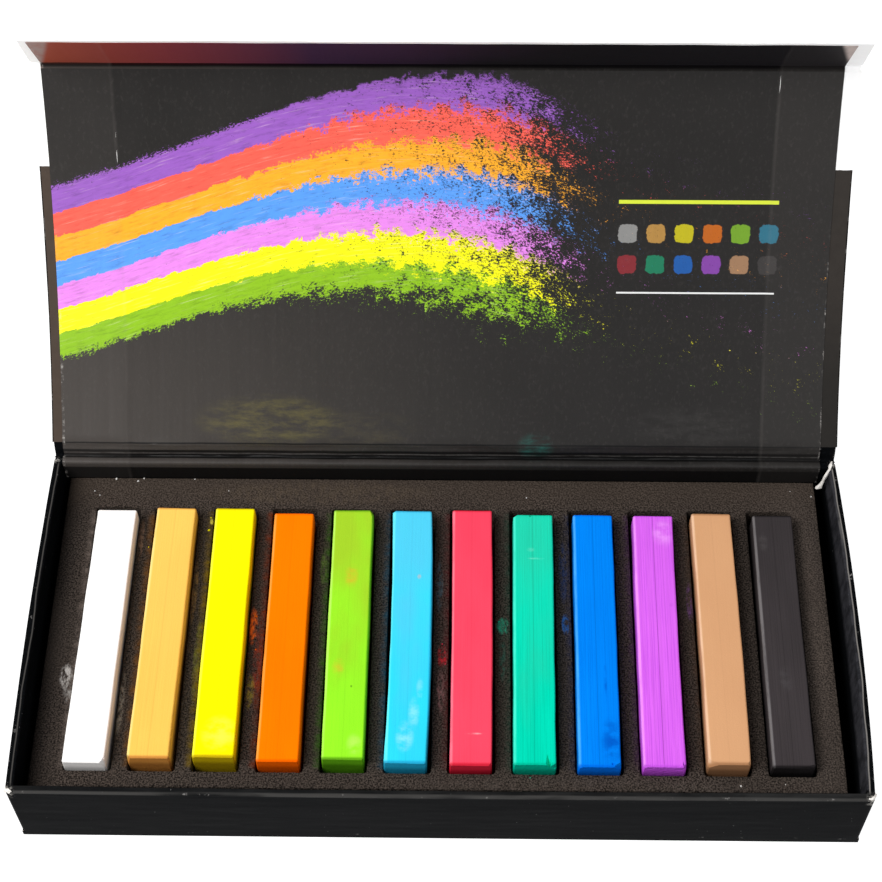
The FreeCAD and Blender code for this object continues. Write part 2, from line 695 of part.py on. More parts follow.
def make_flap_strips():
    """Cover paper behind the flap's gutter, and liner in front of it."""
    for name, lid_level, flap_level, thickness, across in (
        ("flap_hinge_paper", "lid_board_back", "0", "paper", span("lid_half")),
        ("flap_hinge_liner", "lid_fold_face", "flap_fold_face", "0 - paper",
         ("liner_from", "liner_to")),
    ):
        start = on_board(LID, "lid_end", lid_level)
        finish = on_board(FLAP, "flap_gutter", flap_level)
        crease = crossing(start, size("lid_rise"), finish, size("flap_rise"))
        bent_strip(name, start, crease, finish, thickness, across)


# ---------------------------------------------------------------------------------------------
# Pastels
# ---------------------------------------------------------------------------------------------

# Colour, how far the stick lies forward (-) or back (+) of the usual place, how far it is turned
# to the right, and how much longer or shorter than usual it is.
PASTELS = [
    ("white", -0.7, 0.6, -0.5),
    ("ochre", 0.5, 0.6, -0.9),
    ("yellow", 0.8, 0.35, -1.2),
    ("orange", -0.1, 0.25, -1.6),
    ("lime", 0.5, 0.05, -1.2),
    ("light_blue", -0.2, 0.25, -0.6),
    ("red", -0.6, 0.05, 0.1),
    ("teal", -0.3, 0.35, -1.3),
    ("blue", -0.7, 0.25, -0.9),
    ("purple", -0.6, 0.35, -1.1),
    ("tan", 0.1, -0.05, -1.1),
    ("black", -0.5, 0.3, -0.8),
]


def make_pastel(index, colour, forward, turn, longer):
    """A moulded square stick: tapered to its top, rounded along it and bevelled at the ends."""
    name = colour + "_pastel"
    body = new_body(name)
    half, narrow = "stick_width / 2", "(stick_width - stick_taper) / 2"
    length = f"stick_length + {longer}"
    section = new_sketch(body, name + "_section", "XZ_Plane")
    polygon(section, [(f"0 - {half}", "0"), (half, "0"), (narrow, "stick_height"),
                      (f"0 - {narrow}", "stick_height")])
    bar = body.newObject("PartDesign::Pad", name + "_bar")
    bar.Profile = section
    bar.Midplane = True
    bar.setExpression("Length", tied(length))
    doc.recompute()
    along = edges_where(body.Tip, lambda a, b: not same(a.y, b.y))
    soften(body, "Fillet", name + "_edges", along, "stick_edge")
    ends = [f"Edge{number}" for number, edge in enumerate(body.Tip.Shape.Edges, start=1)
            if same(edge.BoundBox.YLength, 0)]
    soften(body, "Chamfer", name + "_ends", ends, "stick_end")
    if colour == "teal":
        break_corner(body, f"0 - ({length}) / 2")
    body.Placement = Placement(Vector(0, 0, 0), Rotation(Vector(0, 0, -1), 1))
    body.setExpression("Placement.Base.x", tied(f"first_slot + slot_pitch * {index}"))
    body.setExpression("Placement.Base.y",
                       tied(f"slot_front + stick_start + {forward} + ({length}) / 2"))
    body.setExpression("Placement.Base.z", tied("slot_floor"))
    body.setExpression("Placement.Rotation.Angle", str(turn))


def break_corner(body, front):
    """Break the top right corner off the front end of a stick."""
    sketch = new_sketch(body, "chip_sketch", "XY_Plane", "stick_height - chip_drop")
    polygon(sketch, [("stick_width / 2 - chip_size", f"{front} - chip_size / 2"),
                     ("stick_width / 2 + chip_size", f"{front} - chip_size / 2"),
                     ("stick_width / 2 + chip_size", f"{front} + chip_size")])
    chip = body.newObject("PartDesign::Pocket", "chip")
    chip.Profile = sketch
    chip.Reversed = True
    chip.setExpression("Length", tied("chip_drop + chip_size"))
    doc.recompute()


# ---------------------------------------------------------------------------------------------
# The whole box
# ---------------------------------------------------------------------------------------------

make_base_cover_paper()
make_base_board()
make_spine_board()
make_spine_cover_paper()
make_tray_board()
make_corner_tapes()
make_strike_plates()
make_tray_wrap()
make_floor_lining()
make_back_wall_liner()
make_foam_backing()
make_foam_slotted()
make_lid_board()
make_lid_cover_paper()
make_lid_liner()
make_flap_board()
make_magnets()
make_flap_cover_paper()
make_flap_liner()
make_hinge_strips()
make_flap_strips()
for place, pastel in enumerate(PASTELS):
    make_pastel(place, *pastel)
doc.recompute()

PIECES = [
    "base_cover_paper", "base_board", "spine_board", "spine_cover_paper", "tray_board",
    "corner_tapes", "strike_disc_left", "strike_disc_right", "tray_wrap", "floor_lining",
    "back_wall_liner", "foam_backing", "foam_slotted", "lid_hinge_paper", "lid_hinge_liner",
    "lid_board", "lid_cover_paper", "lid_liner", "flap_hinge_paper", "flap_hinge_liner",
    "flap_board", "flap_cover_paper", "flap_liner", "magnet_left", "magnet_right",
] + [colour + "_pastel" for colour, *_ in PASTELS]

for item in doc.Objects:
    if "Invalid" in item.State or "Error" in item.State:
        raise RuntimeError(f"{item.Label} failed to compute")

os.makedirs("parts", exist_ok=True)
for name in PIECES:
    piece = doc.getObject(name)
    if piece.Shape.isNull() or not piece.Shape.isValid() or not piece.Shape.Solids:
        raise RuntimeError(f"{name} has no valid solid")
    piece.Shape.exportStep(f"parts/{name}.step")
    box = piece.Shape.BoundBox
    print(f"{name:20s} solids {len(piece.Shape.Solids)}  volume {piece.Shape.Volume:10.1f}"
          f"  x {box.XMin:7.2f} {box.XMax:7.2f}  y {box.YMin:7.2f} {box.YMax:7.2f}"
          f"  z {box.ZMin:7.2f} {box.ZMax:7.2f}")
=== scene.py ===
# %% [markdown]
# A hinged presentation box for twelve square pastels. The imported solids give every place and
# size: boards, papers, foam and sticks. This script dresses them. It bends what is bent on the
# real box, wears what is worn, and writes a finish for each paper, foam, board and chalk.

# %% Load the frame
import bpy
import math
from mathutils import Matrix, Vector, noise


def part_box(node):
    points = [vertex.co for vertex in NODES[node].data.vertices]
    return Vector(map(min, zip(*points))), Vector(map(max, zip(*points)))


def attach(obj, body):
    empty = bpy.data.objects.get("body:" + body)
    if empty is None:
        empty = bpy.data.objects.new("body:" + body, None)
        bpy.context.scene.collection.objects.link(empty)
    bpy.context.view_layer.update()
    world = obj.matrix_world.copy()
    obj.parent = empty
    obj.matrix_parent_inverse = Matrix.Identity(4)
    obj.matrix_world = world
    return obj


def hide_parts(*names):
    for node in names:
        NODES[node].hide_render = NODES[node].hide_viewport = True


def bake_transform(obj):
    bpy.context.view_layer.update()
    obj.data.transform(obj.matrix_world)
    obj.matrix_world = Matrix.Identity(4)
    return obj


noise.seed_set(5)
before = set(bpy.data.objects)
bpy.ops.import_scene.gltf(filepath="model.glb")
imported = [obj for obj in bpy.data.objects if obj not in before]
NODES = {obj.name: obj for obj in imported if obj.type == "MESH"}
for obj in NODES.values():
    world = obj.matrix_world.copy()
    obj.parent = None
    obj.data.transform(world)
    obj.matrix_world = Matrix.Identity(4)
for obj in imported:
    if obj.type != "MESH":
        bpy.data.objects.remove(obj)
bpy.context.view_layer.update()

# %% [markdown]
# Every piece below is placed from the solids, so the few lengths that several cells share are
# read off them here. The lid stands open, so its pieces are easiest to think of in the lid's own
# frame: along its width, up from the hinge, and out from its board towards the viewer.
# Meshes are in metres. Finishes, and tables of places, are in millimetres.

# %% Shared places
MM = 0.001
RISE = math.radians(51.5)
FLAP_RISE = math.radians(118.5)
HINGE = Vector((0, 0.0456, 0.0242))
FLAP_HINGE = Vector((0, 0.104136, 0.096344))
HALF_LENGTH, HALF_DEPTH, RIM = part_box("tray_wrap")[1]
FOAM_LOW, FOAM_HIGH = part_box("foam_slotted")
LID_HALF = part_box("lid_cover_paper")[1].x
LID_LOW, LID_HIGH, LID_SAG = 0.0015, 0.0905, 0.0045
COLOURS = ["white", "ochre", "yellow", "orange", "lime", "light_blue", "red", "teal", "blue",
           "purple", "tan", "black"]


def from_lid(point, hinge=HINGE, rise=RISE):
    """A point of the lid's own frame, carried to its place on the standing lid."""
    return hinge + Matrix.Rotation(rise, 3, "X") @ Vector(point)


def to_lid(point, hinge=HINGE, rise=RISE):
    """A point of the standing lid, in the lid's own frame."""
    return Matrix.Rotation(-rise, 3, "X") @ (Vector(point) - hinge)


def ease(value, low, high):
    """A smooth climb from 0 at low to 1 at high."""
    part = min(1.0, max(0.0, (value - low) / (high - low)))
    return part * part * (3 - 2 * part)


print("rim", round(RIM, 5), "foam", [round(v, 5) for v in (*FOAM_LOW, *FOAM_HIGH)])

# %% [markdown]
# The camera looks down into the box from the front, a little right of its middle. A long lens
# keeps the lid and the tray nearly the same width.

# %% Camera
ahead = Vector((-0.01309, 0.56098, -0.82773))
right = Vector((0.99989, 0.01311, -0.00693))
over = right.cross(ahead).normalized()
turn = Matrix((right, over, -ahead)).transposed()
lens = bpy.data.cameras.new("camera")
lens.sensor_width, lens.lens, lens.clip_start = 36.0, 78.91, 0.01
camera = bpy.data.objects.new("camera", lens)
bpy.context.scene.collection.objects.link(camera)
camera.matrix_world = Matrix.Translation((0.005403, -0.214014, 0.410926)) @ turn.to_4x4()
bpy.context.scene.camera = camera
print("camera", [round(v, 3) for v in camera.location])

# %% [markdown]
# The box stands on a plain white table that glows a little, as a lit studio table does, so that
# shadows on it stay faint. The large lamp stands high on the left: the sticks' tops are bright,
# their ends fall into shade, and the left wall shades the foam beside it. Plain view colours
# keep the pigments as strong as they are.

# %% Table and light
def fresh(shape, name, **settings):
    """A new primitive mesh, selected alone."""
    bpy.ops.object.select_all(action="DESELECT")
    getattr(bpy.ops.mesh, f"primitive_{shape}_add")(**settings)
    bpy.context.object.name = name
    return bpy.context.object


def lamp(name, place, size, power, tint):
    """A square soft lamp that faces the middle of the tray."""
    light = bpy.data.lights.new(name, "AREA")
    light.size, light.energy, light.color = size, power, tint
    holder = bpy.data.objects.new(name, light)
    bpy.context.scene.collection.objects.link(holder)
    holder.location = place
    aim = Vector((0, 0.02, 0.02)) - Vector(place)
    holder.rotation_euler = aim.to_track_quat("-Z", "Y").to_euler()


table = fresh("plane", "table", size=8, location=(0, 0, -0.0004))
lamp("key_lamp", (-0.50, -0.18, 0.75), 0.42, 8.0, (1.0, 0.99, 0.97))
lamp("fill_lamp", (0.45, -0.55, 0.70), 0.7, 2.6, (0.97, 0.98, 1.0))
world = bpy.data.worlds.new("studio")
bpy.context.scene.world = world
world.use_nodes = True
background = world.node_tree.nodes["Background"]
background.inputs["Color"].default_value = (1, 1, 1, 1)
background.inputs["Strength"].default_value = 0.3
bpy.context.scene.view_settings.view_transform = "Standard"

# %% [markdown]
# A finish could be drawn by hand as a web of nodes, but it is easier to read as a formula. Field
# wraps a socket, and a sum or product of Fields adds the Math nodes for it. Colours are written
# as they are seen, from 0 to 255.

# %% Numbers that vary over a surface
def linear(red, green, blue):
    """A colour as it is seen, 0 to 255, turned into the light it stands for."""
    parts = [v / 255 for v in (red, green, blue)]
    return tuple(p / 12.92 if p <= 0.04045 else ((p + 0.055) / 1.055) ** 2.4 for p in parts)


class Field:
    """A number, a place or a colour that varies over a surface."""

    def __init__(self, finish, socket):
        self.finish, self.socket = finish, socket

    def math(self, operation, *values):
        return self.finish.add("ShaderNodeMath", {"operation": operation},
                               dict(enumerate(values)))

    def __abs__(self):
        return self.math("ABSOLUTE", self)

    def most(self, other):
        return self.math("MAXIMUM", self, other)

    def floor(self):
        return self.math("FLOOR", self)

    def sine(self):
        return self.math("SINE", self)

    def climb(self, low, high):
        """0 below low, 1 above high and smooth between; high below low turns it round."""
        if high < low:
            return 1 - self.climb(high, low)
        return self.finish.add("ShaderNodeMapRange", {"interpolation_type": "SMOOTHSTEP"},
                               {"Value": self, "From Min": low, "From Max": high})

    def between(self, low, high, soft):
        """1 between two values, with a soft edge on each side."""
        return self.climb(low - soft, low + soft) * self.climb(high + soft, high - soft)


def sign(operation, swapped):
    """What a sign between a Field and something else does."""
    def act(field, other):
        pair = (other, field) if swapped else (field, other)
        return field.math(operation, *pair)
    return act


for short, operation in (("add", "ADD"), ("sub", "SUBTRACT"), ("mul", "MULTIPLY"),
                         ("truediv", "DIVIDE"), ("pow", "POWER")):
    setattr(Field, f"__{short}__", sign(operation, False))
    setattr(Field, f"__r{short}__", sign(operation, True))


print("a mid grey, 128, stands for", round(linear(128, 128, 128)[0], 3), "of the light")

# %% [markdown]
# Finish holds one material and has one method that adds any other node: its kind, its settings,
# then what goes into its sockets. Its patterns are read from the place of a point, in millimetres,
# so they need no unwrapping. A sheet that crosses a hinge carries the places its points have in
# the pose it is made in, and its pattern reads those, so that it can't slide.

# %% One material
class Finish:
    """One material, written from Fields in millimetres."""

    def __init__(self, name, **fixed):
        self.material = bpy.data.materials.new(name)
        self.material.use_nodes = True
        self.tree = self.material.node_tree
        self.tree.nodes.clear()
        end = self.tree.nodes.new("ShaderNodeOutputMaterial")
        self.surface = self.tree.nodes.new("ShaderNodeBsdfPrincipled")
        self.tree.links.new(self.surface.outputs[0], end.inputs["Surface"])
        for socket, value in fixed.items():
            self.fill(self.surface.inputs[socket.replace("_", " ")], value)
        now = self.add("ShaderNodeTexCoord", out="Object")
        bends = self.add("ShaderNodeAttribute", {"attribute_name": "bends"}, out="Fac")
        unbent = self.add("ShaderNodeAttribute", {"attribute_name": "unbent"}, out="Vector")
        place = self.add("ShaderNodeMix", {"data_type": "VECTOR"}, {0: bends, 4: now, 5: unbent},
                         out=1)
        self.place = self.add("ShaderNodeVectorMath", {"operation": "SCALE"},
                              {"Vector": place, "Scale": 1 / MM})
        self.x, self.y, self.z = self.parts(self.place)

    def fill(self, socket, value):
        """Put a Field, a colour or a number into a socket."""
        if isinstance(value, Field):
            self.tree.links.new(value.socket, socket)
        elif socket.type == "RGBA":
            socket.default_value = (*linear(*value), 1)
        else:
            socket.default_value = value

    def add(self, kind, settings=None, values=None, out=0):
        """Any node: its kind, its settings, its sockets' values, and which output is wanted."""
        node = self.tree.nodes.new(kind)
        for name, value in (settings or {}).items():
            setattr(node, name, value)
        for name, value in (values or {}).items():
            self.fill(node.inputs[name], value)
        return Field(self, node.outputs[out])

    def parts(self, vector):
        """The three numbers of a place."""
        node = self.tree.nodes.new("ShaderNodeSeparateXYZ")
        self.fill(node.inputs[0], vector)
        return [Field(self, socket) for socket in node.outputs]

    def point(self, x, y, z=0.0):
        """A place from three numbers."""
        return self.add("ShaderNodeCombineXYZ", {}, {"X": x, "Y": y, "Z": z})

    def local(self, hinge, rise):
        """Across, along and out, in the frame of a board that stands turned about X."""
        return self.parts(self.add("ShaderNodeMapping", {"vector_type": "TEXTURE"},
                                   {"Vector": self.place, "Location": [v / MM for v in hinge],
                                    "Rotation": (rise, 0, 0)}))

    def noise(self, scale, detail=3.0, roughness=0.55, where=None, stretch=None):
        """Cloudy noise; scale is in patches per millimetre, stretch makes them longer."""
        where = where or self.place
        if stretch:
            where = self.add("ShaderNodeVectorMath", {"operation": "DIVIDE"},
                             {0: where, 1: stretch})
        return self.add("ShaderNodeTexNoise", {}, {"Vector": where, "Scale": scale,
                                                   "Detail": detail, "Roughness": roughness})

    def cells(self, scale):
        """Distance from the middle of the nearest of many scattered cells."""
        return self.add("ShaderNodeTexVoronoi", {}, {"Vector": self.place, "Scale": scale})

    def marks(self, x, y, table, soft, *covers):
        """Lay every oval of a table over the tone, broken up by the covers."""
        for middle, reach, colour, strength in table:
            dx, dy = (x - middle[0]) / reach[0], (y - middle[1]) / reach[1]
            near = (1 - (dx * dx + dy * dy)).climb(0.0, soft)
            for cover in covers:
                near = near * cover
            self.lay(near * strength, colour)

    def mix(self, share, first, second):
        """Two colours laid over each other by a share."""
        return self.add("ShaderNodeMix", {"data_type": "RGBA"}, {0: share, 6: first, 7: second},
                        out=2)

    def lay(self, share, colour):
        """Lay a colour over the tone that the finish has so far."""
        self.tone = self.mix(share, self.tone, colour)

    def ramp(self, value, stops, blend="LINEAR"):
        """A colour picked by a value, from stops of position and colour."""
        node = self.tree.nodes.new("ShaderNodeValToRGB")
        marks = node.color_ramp.elements
        while len(marks) < len(stops):
            marks.new(1)
        for mark, (position, colour) in zip(marks, stops):
            mark.position, mark.color = position, (*linear(*colour), 1)
        node.color_ramp.interpolation = blend
        self.fill(node.inputs[0], value)
        return Field(self, node.outputs[0])

    def steps(self, value, colours):
        """One plain colour after the other, as a value goes from 0 to 1."""
        stops = [(i / len(colours), colour) for i, colour in enumerate(colours)]
        return self.ramp(value, stops, "CONSTANT")

    def done(self, roughness=None, height=None):
        """Join the surface up with the tone so far. Height is a Field in millimetres."""
        self.fill(self.surface.inputs["Base Color"], self.tone)
        if roughness is not None:
            self.fill(self.surface.inputs["Roughness"], roughness)
        bump = self.add("ShaderNodeBump", {}, {"Height": height, "Distance": MM,
                                               "Strength": 1.0})
        self.fill(self.surface.inputs["Normal"], bump)
        return self.material


def wear(piece, material):
    """Give a piece its one finish."""
    piece.data.materials.clear()
    piece.data.materials.append(material)


top = Finish("pale_table", Roughness=0.9, IOR=1.05, Emission_Color=(255, 255, 255),
             Emission_Strength=0.98)
top.tone = top.mix(top.noise(0.004, 2), (138, 138, 138), (146, 146, 146))
wear(table, top.done(height=top.noise(0.5, 2) * 0.02))
print("table and helpers ready")

# %% [markdown]
# The black paper on the walls is coated stock. It is nearly black, a little glossy, and wavy
# where the glue dried. It has worn through to pale fibre at the rim and the corners. Clouds of
# noise in millimetres give the waves and the scuffs, and the wear follows the real edges.

# %% Finish: black coated paper
def black_paper(name, wave=(30, 8, 8)):
    """Coated paper with its tone, roughness and height; wear can be laid over it."""
    paper = Finish(name, IOR=1.055)
    clouds = paper.noise(0.07, 4)
    fibre = paper.noise(2.2, 3)
    scuff = paper.noise(0.9, 5, 0.7, stretch=(3, 3, 1)).climb(0.66, 0.8)
    paper.tone = paper.mix(clouds, (5, 6, 7), (12, 13, 15))
    paper.lay(fibre.climb(0.5, 0.75) * 0.3, (28, 30, 32))
    paper.lay(scuff * 0.2, (72, 72, 74))
    paper.lay(paper.noise(1.3, 1).climb(0.773, 0.803) * 0.5, (130, 130, 130))
    paper.rough = 0.34 + 0.16 * clouds + 0.1 * fibre
    paper.height = paper.noise(1.0, 2, stretch=wave) * 0.2 + fibre * 0.015
    return paper


def worn_through(paper, near, amount, scale, core):
    """Lay pale fibre over a paper near an edge, in broken patches."""
    patch = paper.noise(scale, 5, 0.65).climb(amount, amount + 0.07)
    fray = paper.noise(3.0, 3).climb(0.35, 0.6)
    share = patch * near * (0.5 + 0.5 * fray)
    paper.lay(share, core)
    paper.rough = paper.rough.most(share * 0.85)


print("black paper written")

# %% [markdown]
# The tray's wrap is that paper after much use. Its front rim carries a painted highlight in
# streaks, and its outer lip is paler still, partly painted highlight and partly wear. The right
# wall has a pale line of painted highlight along its top and a painted sheen on its inner face,
# and the corners are worn. Each mark could be painted on an image, but one product of limits in x,
# y and z places it exactly and stays sharp.

# %% Finish: the tray's wrap
def wall_paper():
    """The tray's wrap: painted highlights on the rim and the right wall's top, painted sheen
    inside the right wall, worn corners.
    """
    paper = black_paper("wall_paper", wave=(24, 14, 5))
    streaks = paper.noise(0.8, 4, 0.6, stretch=(16, 3, 1))
    # Painted highlight: the front rim is lighter in streaks, more so towards the right.
    front_rim = paper.z.climb(22.3, 22.75) * paper.y.climb(-41.6, -42.2)
    right_half = paper.x.climb(-20, 40) * 0.45 + 0.55
    paper.lay(front_rim * right_half * (0.3 + 0.7 * streaks.climb(0.35, 0.65)), (42, 42, 42))
    # The outer lip of the front rim is paler still: partly painted highlight, partly wear.
    lip = front_rim * paper.y.climb(-43.0, -43.4)
    lip = lip * paper.noise(0.2, 3, stretch=(6, 1, 1)).climb(0.3, 0.5)
    paper.lay(lip * 0.8, (66, 65, 64))
    bulge = (0.6 + 0.6 * paper.x.climb(-1, 1)) * (1 - (paper.y / 43.7) * (paper.y / 43.7))
    inward = abs(paper.x) - bulge + (paper.noise(0.06, 2) - 0.5) * 1.2
    # Painted highlight: a pale line along the top of the right wall, fainter on the left wall.
    long_line = inward.between(92.72, 93.0, 0.1) * paper.z.climb(22.0, 22.4)
    long_line = long_line * (0.25 + 0.75 * paper.x.climb(-1, 1)) * abs(paper.y).climb(42.6, 41.0)
    paper.lay(long_line * 0.75, (150, 146, 142))
    # Painted highlight: a pale streak on the right wall's top, near its inner edge.
    streak_mask = inward.between(92.3, 92.8, 0.15) * paper.y.between(21, 29, 4)
    streak_mask = streak_mask * paper.x.climb(-1, 1)
    paper.lay(streak_mask * streaks.climb(0.2, 0.6) * 0.7, (124, 121, 118))
    # Painted sheen: the inner face of the right wall is lighter, in dull patches.
    facing = inward.climb(92.95, 92.6) * paper.x.climb(80, 90) * paper.z.climb(15.0, 18.0)
    facing = facing * abs(paper.y).climb(41.4, 41.0)
    dull = paper.noise(0.35, 4, 0.65, stretch=(1, 1, 2)).climb(0.35, 0.65)
    paper.lay(facing * (0.4 + 0.6 * dull) * 0.75, (62, 62, 67))
    outer = abs(paper.x).climb(93.3, 93.9).most(abs(paper.y).climb(43.1, 43.6))
    corner = abs(paper.x).climb(91.8, 93.6) * abs(paper.y).climb(41.5, 43.3)
    corner = corner * paper.z.climb(19.0, 22.8)
    worn_through(paper, paper.z.climb(22.45, 22.95) * outer, 0.63, 0.5, (128, 126, 124))
    worn_through(paper, corner, 0.5, 1.2, (188, 184, 178))
    worn_through(paper, paper.z.climb(2.6, 1.7) * outer, 0.62, 0.4, (104, 102, 100))
    return paper.done(paper.rough, paper.height)


WALL_PAPER = wall_paper()
print("wrap:", len(WALL_PAPER.node_tree.nodes), "nodes")

# %% [markdown]
# The cover is the same black stock behind the base, the spine and most of the lid. A white band
# crosses the front of the lid and all of the flap, and its paper is folded over the edges, so the
# band also shows from inside, as a white frame round the dark liner. Below the band that frame is
# black paper with a painted sheen, lighter higher up and on the left.

# %% Finish: cover paper, black with a white band
BAND_FROM = 67.6
ALL_WHITE = -20.0
LID_MIDDLE, LID_REACH = 46, 44.5


def cover_paper(name, hinge, rise, band, bowed=0.0):
    """Cover paper in the frame of its own board; band says where the white begins."""
    paper = black_paper(name)
    across, along, out = paper.local(hinge, rise)
    away = (along - LID_MIDDLE) / LID_REACH
    face = out + (1 - away * away).most(0) * bowed
    inside = face.climb(0.3, 0.65) * abs(across).climb(94.2, 93.9)
    # Painted sheen on the inner face of the black frame, lighter higher up and towards the left.
    handled = paper.mix(along.climb(12, 45), (46, 44, 42), (58, 54, 51))
    handled = paper.mix(across.climb(60, -90), handled, (78, 68, 61))
    paper.lay(inside * (0.75 + 0.25 * paper.noise(0.5, 4)), handled)
    worn_through(paper, abs(across).climb(93.9, 94.35), 0.55, 0.3, (132, 130, 128))
    white = paper.mix(paper.noise(0.6, 4, 0.6), (246, 246, 246), (254, 254, 254))
    grime = paper.noise(0.12, 5, 0.7).climb(0.6, 0.8) * 0.08
    white = paper.mix(grime, white, (188, 182, 176))
    share = (along + (paper.noise(1.2, 2) - 0.5) * 0.25).climb(band - 0.06, band + 0.06)
    paper.lay(share, white)
    return paper.done(paper.rough + share * 0.12, paper.height * (1 - 0.6 * share))


LID_COVER = cover_paper("lid_cover_paper", HINGE, RISE, BAND_FROM, bowed=LID_SAG / MM)
FLAP_COVER = cover_paper("flap_cover_paper", FLAP_HINGE, FLAP_RISE, ALL_WHITE)
paper = black_paper("case_cover_paper")
back_edge = paper.z.between(21.4, 22.3, 0.2).most(abs(paper.x).climb(93.5, 93.95))
worn_through(paper, back_edge, 0.6, 0.9, (110, 107, 104))
CASE_COVER = paper.done(paper.rough, paper.height)
print("cover papers:", [m.name for m in (LID_COVER, FLAP_COVER, CASE_COVER)])

# %% [markdown]
# The liner is a printed sheet. The print is chalk: seven broad ribbons drawn side by side in a
# wave, solid where the hand began and powder where it let go. They are made without an image.
# The height above the wave's middle picks the pigment, and the way along it thins the chalk out.

# %% Print: ribbons of chalk
RIBBONS = [(140, 190, 26), (248, 246, 10), (228, 136, 232), (88, 156, 244), (251, 172, 38),
           (250, 96, 80), (150, 92, 190)]


def chalk_ribbons(sheet, across, along):
    """Lay seven ribbons that run from the left in a wave and break up."""
    thin = across.climb(-66, 32)
    rise = along - (((across + 66) / 38).sine() * 13 + 50)
    where = sheet.point(across, rise, 0.0)
    drag = sheet.noise(1.0, 4, 0.6, where, stretch=(9, 0.5, 1))
    ragged = sheet.noise(0.3, 5, 0.72, where)
    tooth = sheet.noise(2.2, 4, 0.8, where, stretch=(1.5, 1, 1))
    wander = (drag - 0.5) * 1.6 + (ragged - 0.5) * (2.5 + 26 * thin) + (tooth - 0.5) * 24 * thin
    step = (rise + wander) / (5.8 + 2.4 * thin) + 3.5
    pigment = sheet.steps(step / 7, RIBBONS)
    shade = sheet.noise(0.9, 4, 0.7, where, stretch=(4, 0.7, 1))
    pigment = sheet.mix(shade.climb(0.45, 0.8) * 0.4, pigment, (30, 22, 26))
    pigment = sheet.mix(drag.climb(0.55, 0.8) * 0.35, pigment, (255, 236, 214))
    clump = sheet.noise(0.3, 5, 0.75, where)
    bare = thin * 0.55 + across.climb(8, 46) * 0.65
    beyond = (0.3 - step).most(0) + (step - 6.8).most(0)
    bare = bare + beyond * (2.2 - 1.2 * thin)
    cover = (tooth * 0.6 + clump * 0.4) - (0.36 + 0.22 * bare)
    sheet.lay(cover.climb(-0.02, 0.025) * 0.96, pigment)


print("ribbons", len(RIBBONS))

# %% [markdown]
# Twelve small rubbed patches at the right of the sheet stand for the twelve sticks. They are
# counted off in columns and rows, so one formula draws them all. Smears of loose chalk lie low
# on the sheet, and the flap's lining has a tint that fades to black.

# %% Print: patches, smears and the flap's tint
CHIPS = [(246, 246, 244), (232, 176, 88), (250, 236, 20), (246, 128, 20), (150, 210, 50),
         (70, 196, 236), (232, 60, 78), (20, 160, 116), (24, 116, 216), (170, 86, 214),
         (206, 158, 118), (96, 92, 92)]
CHIP_WIDE, CHIP_HIGH = 6.6, 7.4
SMEARS = [((-42, 7), (20, 7), (150, 140, 60), 0.22), ((22, 1), (5, 4), (20, 120, 110), 0.4),
          ((-20, 5), (16, 5), (120, 110, 70), 0.12), ((60, 6), (18, 6), (100, 98, 96), 0.12)]


def chips(sheet, across, along):
    """Two rows of six rubbed patches, one for each stick, between two plain bars."""
    column = ((across - 39.6) / CHIP_WIDE).floor()
    row = ((56 - along) / CHIP_HIGH).floor()
    dx, dy = across - 42.9 - column * CHIP_WIDE, along - 52.3 + row * CHIP_HIGH
    wobble = (sheet.noise(0.9, 3) - 0.5) * 0.9
    size = (abs(dx) ** 4 + abs(dy) ** 4) ** 0.25 + wobble
    patch = size.climb(2.3, 2.1) * sheet.noise(2.4, 4, 0.75).climb(0.24, 0.4)
    patch = patch * column.between(0, 5, 0.5) * row.between(0, 1, 0.5)
    sheet.lay(patch * 0.95, sheet.steps((column + row * 6 + 0.5) / 12, CHIPS))
    reach = across.between(40.6, 77.8, 0.06)
    sheet.lay(along.between(59.4, 60.3, 0.05) * reach, (206, 220, 60))
    sheet.lay(along.between(37.9, 38.3, 0.05) * reach, (226, 226, 226))


def folds(sheet, along):
    """Painted shade in the folds of the hinge and on the sheet's end inside the back wall, with a
    painted highlight on one ridge.
    """
    height = along + (sheet.noise(0.15, 3) - 0.5) * 0.3
    # Painted shade: the bottom of the fold and the end that hangs inside the back wall go near
    # black.
    valley = height.climb(-1.55, -1.75) * sheet.y.climb(43.1, 43.5)
    hanging = sheet.z.climb(21.7, 21.1) * sheet.y.climb(43.3, 43.0)
    sheet.lay(valley.most(hanging) * 0.93, (4, 4, 5))
    # Painted shade: two dark lines across the gutter.
    sheet.lay(height.between(-1.1, -0.4, 0.15) * 0.85, (6, 6, 7))
    sheet.lay(height.between(1.2, 1.6, 0.1) * 0.85, (6, 6, 7))
    # Painted highlight along the ridge of the fold.
    ridge = height.between(-1.5, -1.3, 0.1) * sheet.noise(0.5, 4).climb(0.3, 0.6)
    sheet.lay(ridge * 0.4, (120, 118, 116))


def flap_print(sheet, across, along, out):
    """A tint that fades from brown to black, pale ends, and a dark line of painted shadow along
    the fold.
    """
    tint = sheet.ramp((across + 92) / 184, [(0.0, (150, 66, 44)), (0.16, (124, 52, 58)),
                                            (0.34, (58, 36, 62)), (0.55, (26, 24, 27))])
    sheet.lay(out.climb(2.2, 1.95) * 0.9, tint)
    beyond = (abs(across) + (along - 1.6) * 0.285).climb(90.6, 92.2)
    worn = beyond * (0.6 + 0.4 * sheet.noise(0.3, 4, 0.6).climb(0.3, 0.6))
    sheet.lay(worn * 0.85, sheet.mix(across.climb(-1, 1), (150, 134, 130), (200, 184, 178)))
    # Painted shadow: a dark line along the fold at the hinge.
    sheet.lay(along.between(0.9, 1.5, 0.15) * 0.92, (3, 2, 3))


print("patches", len(CHIPS), "smears", len(SMEARS))
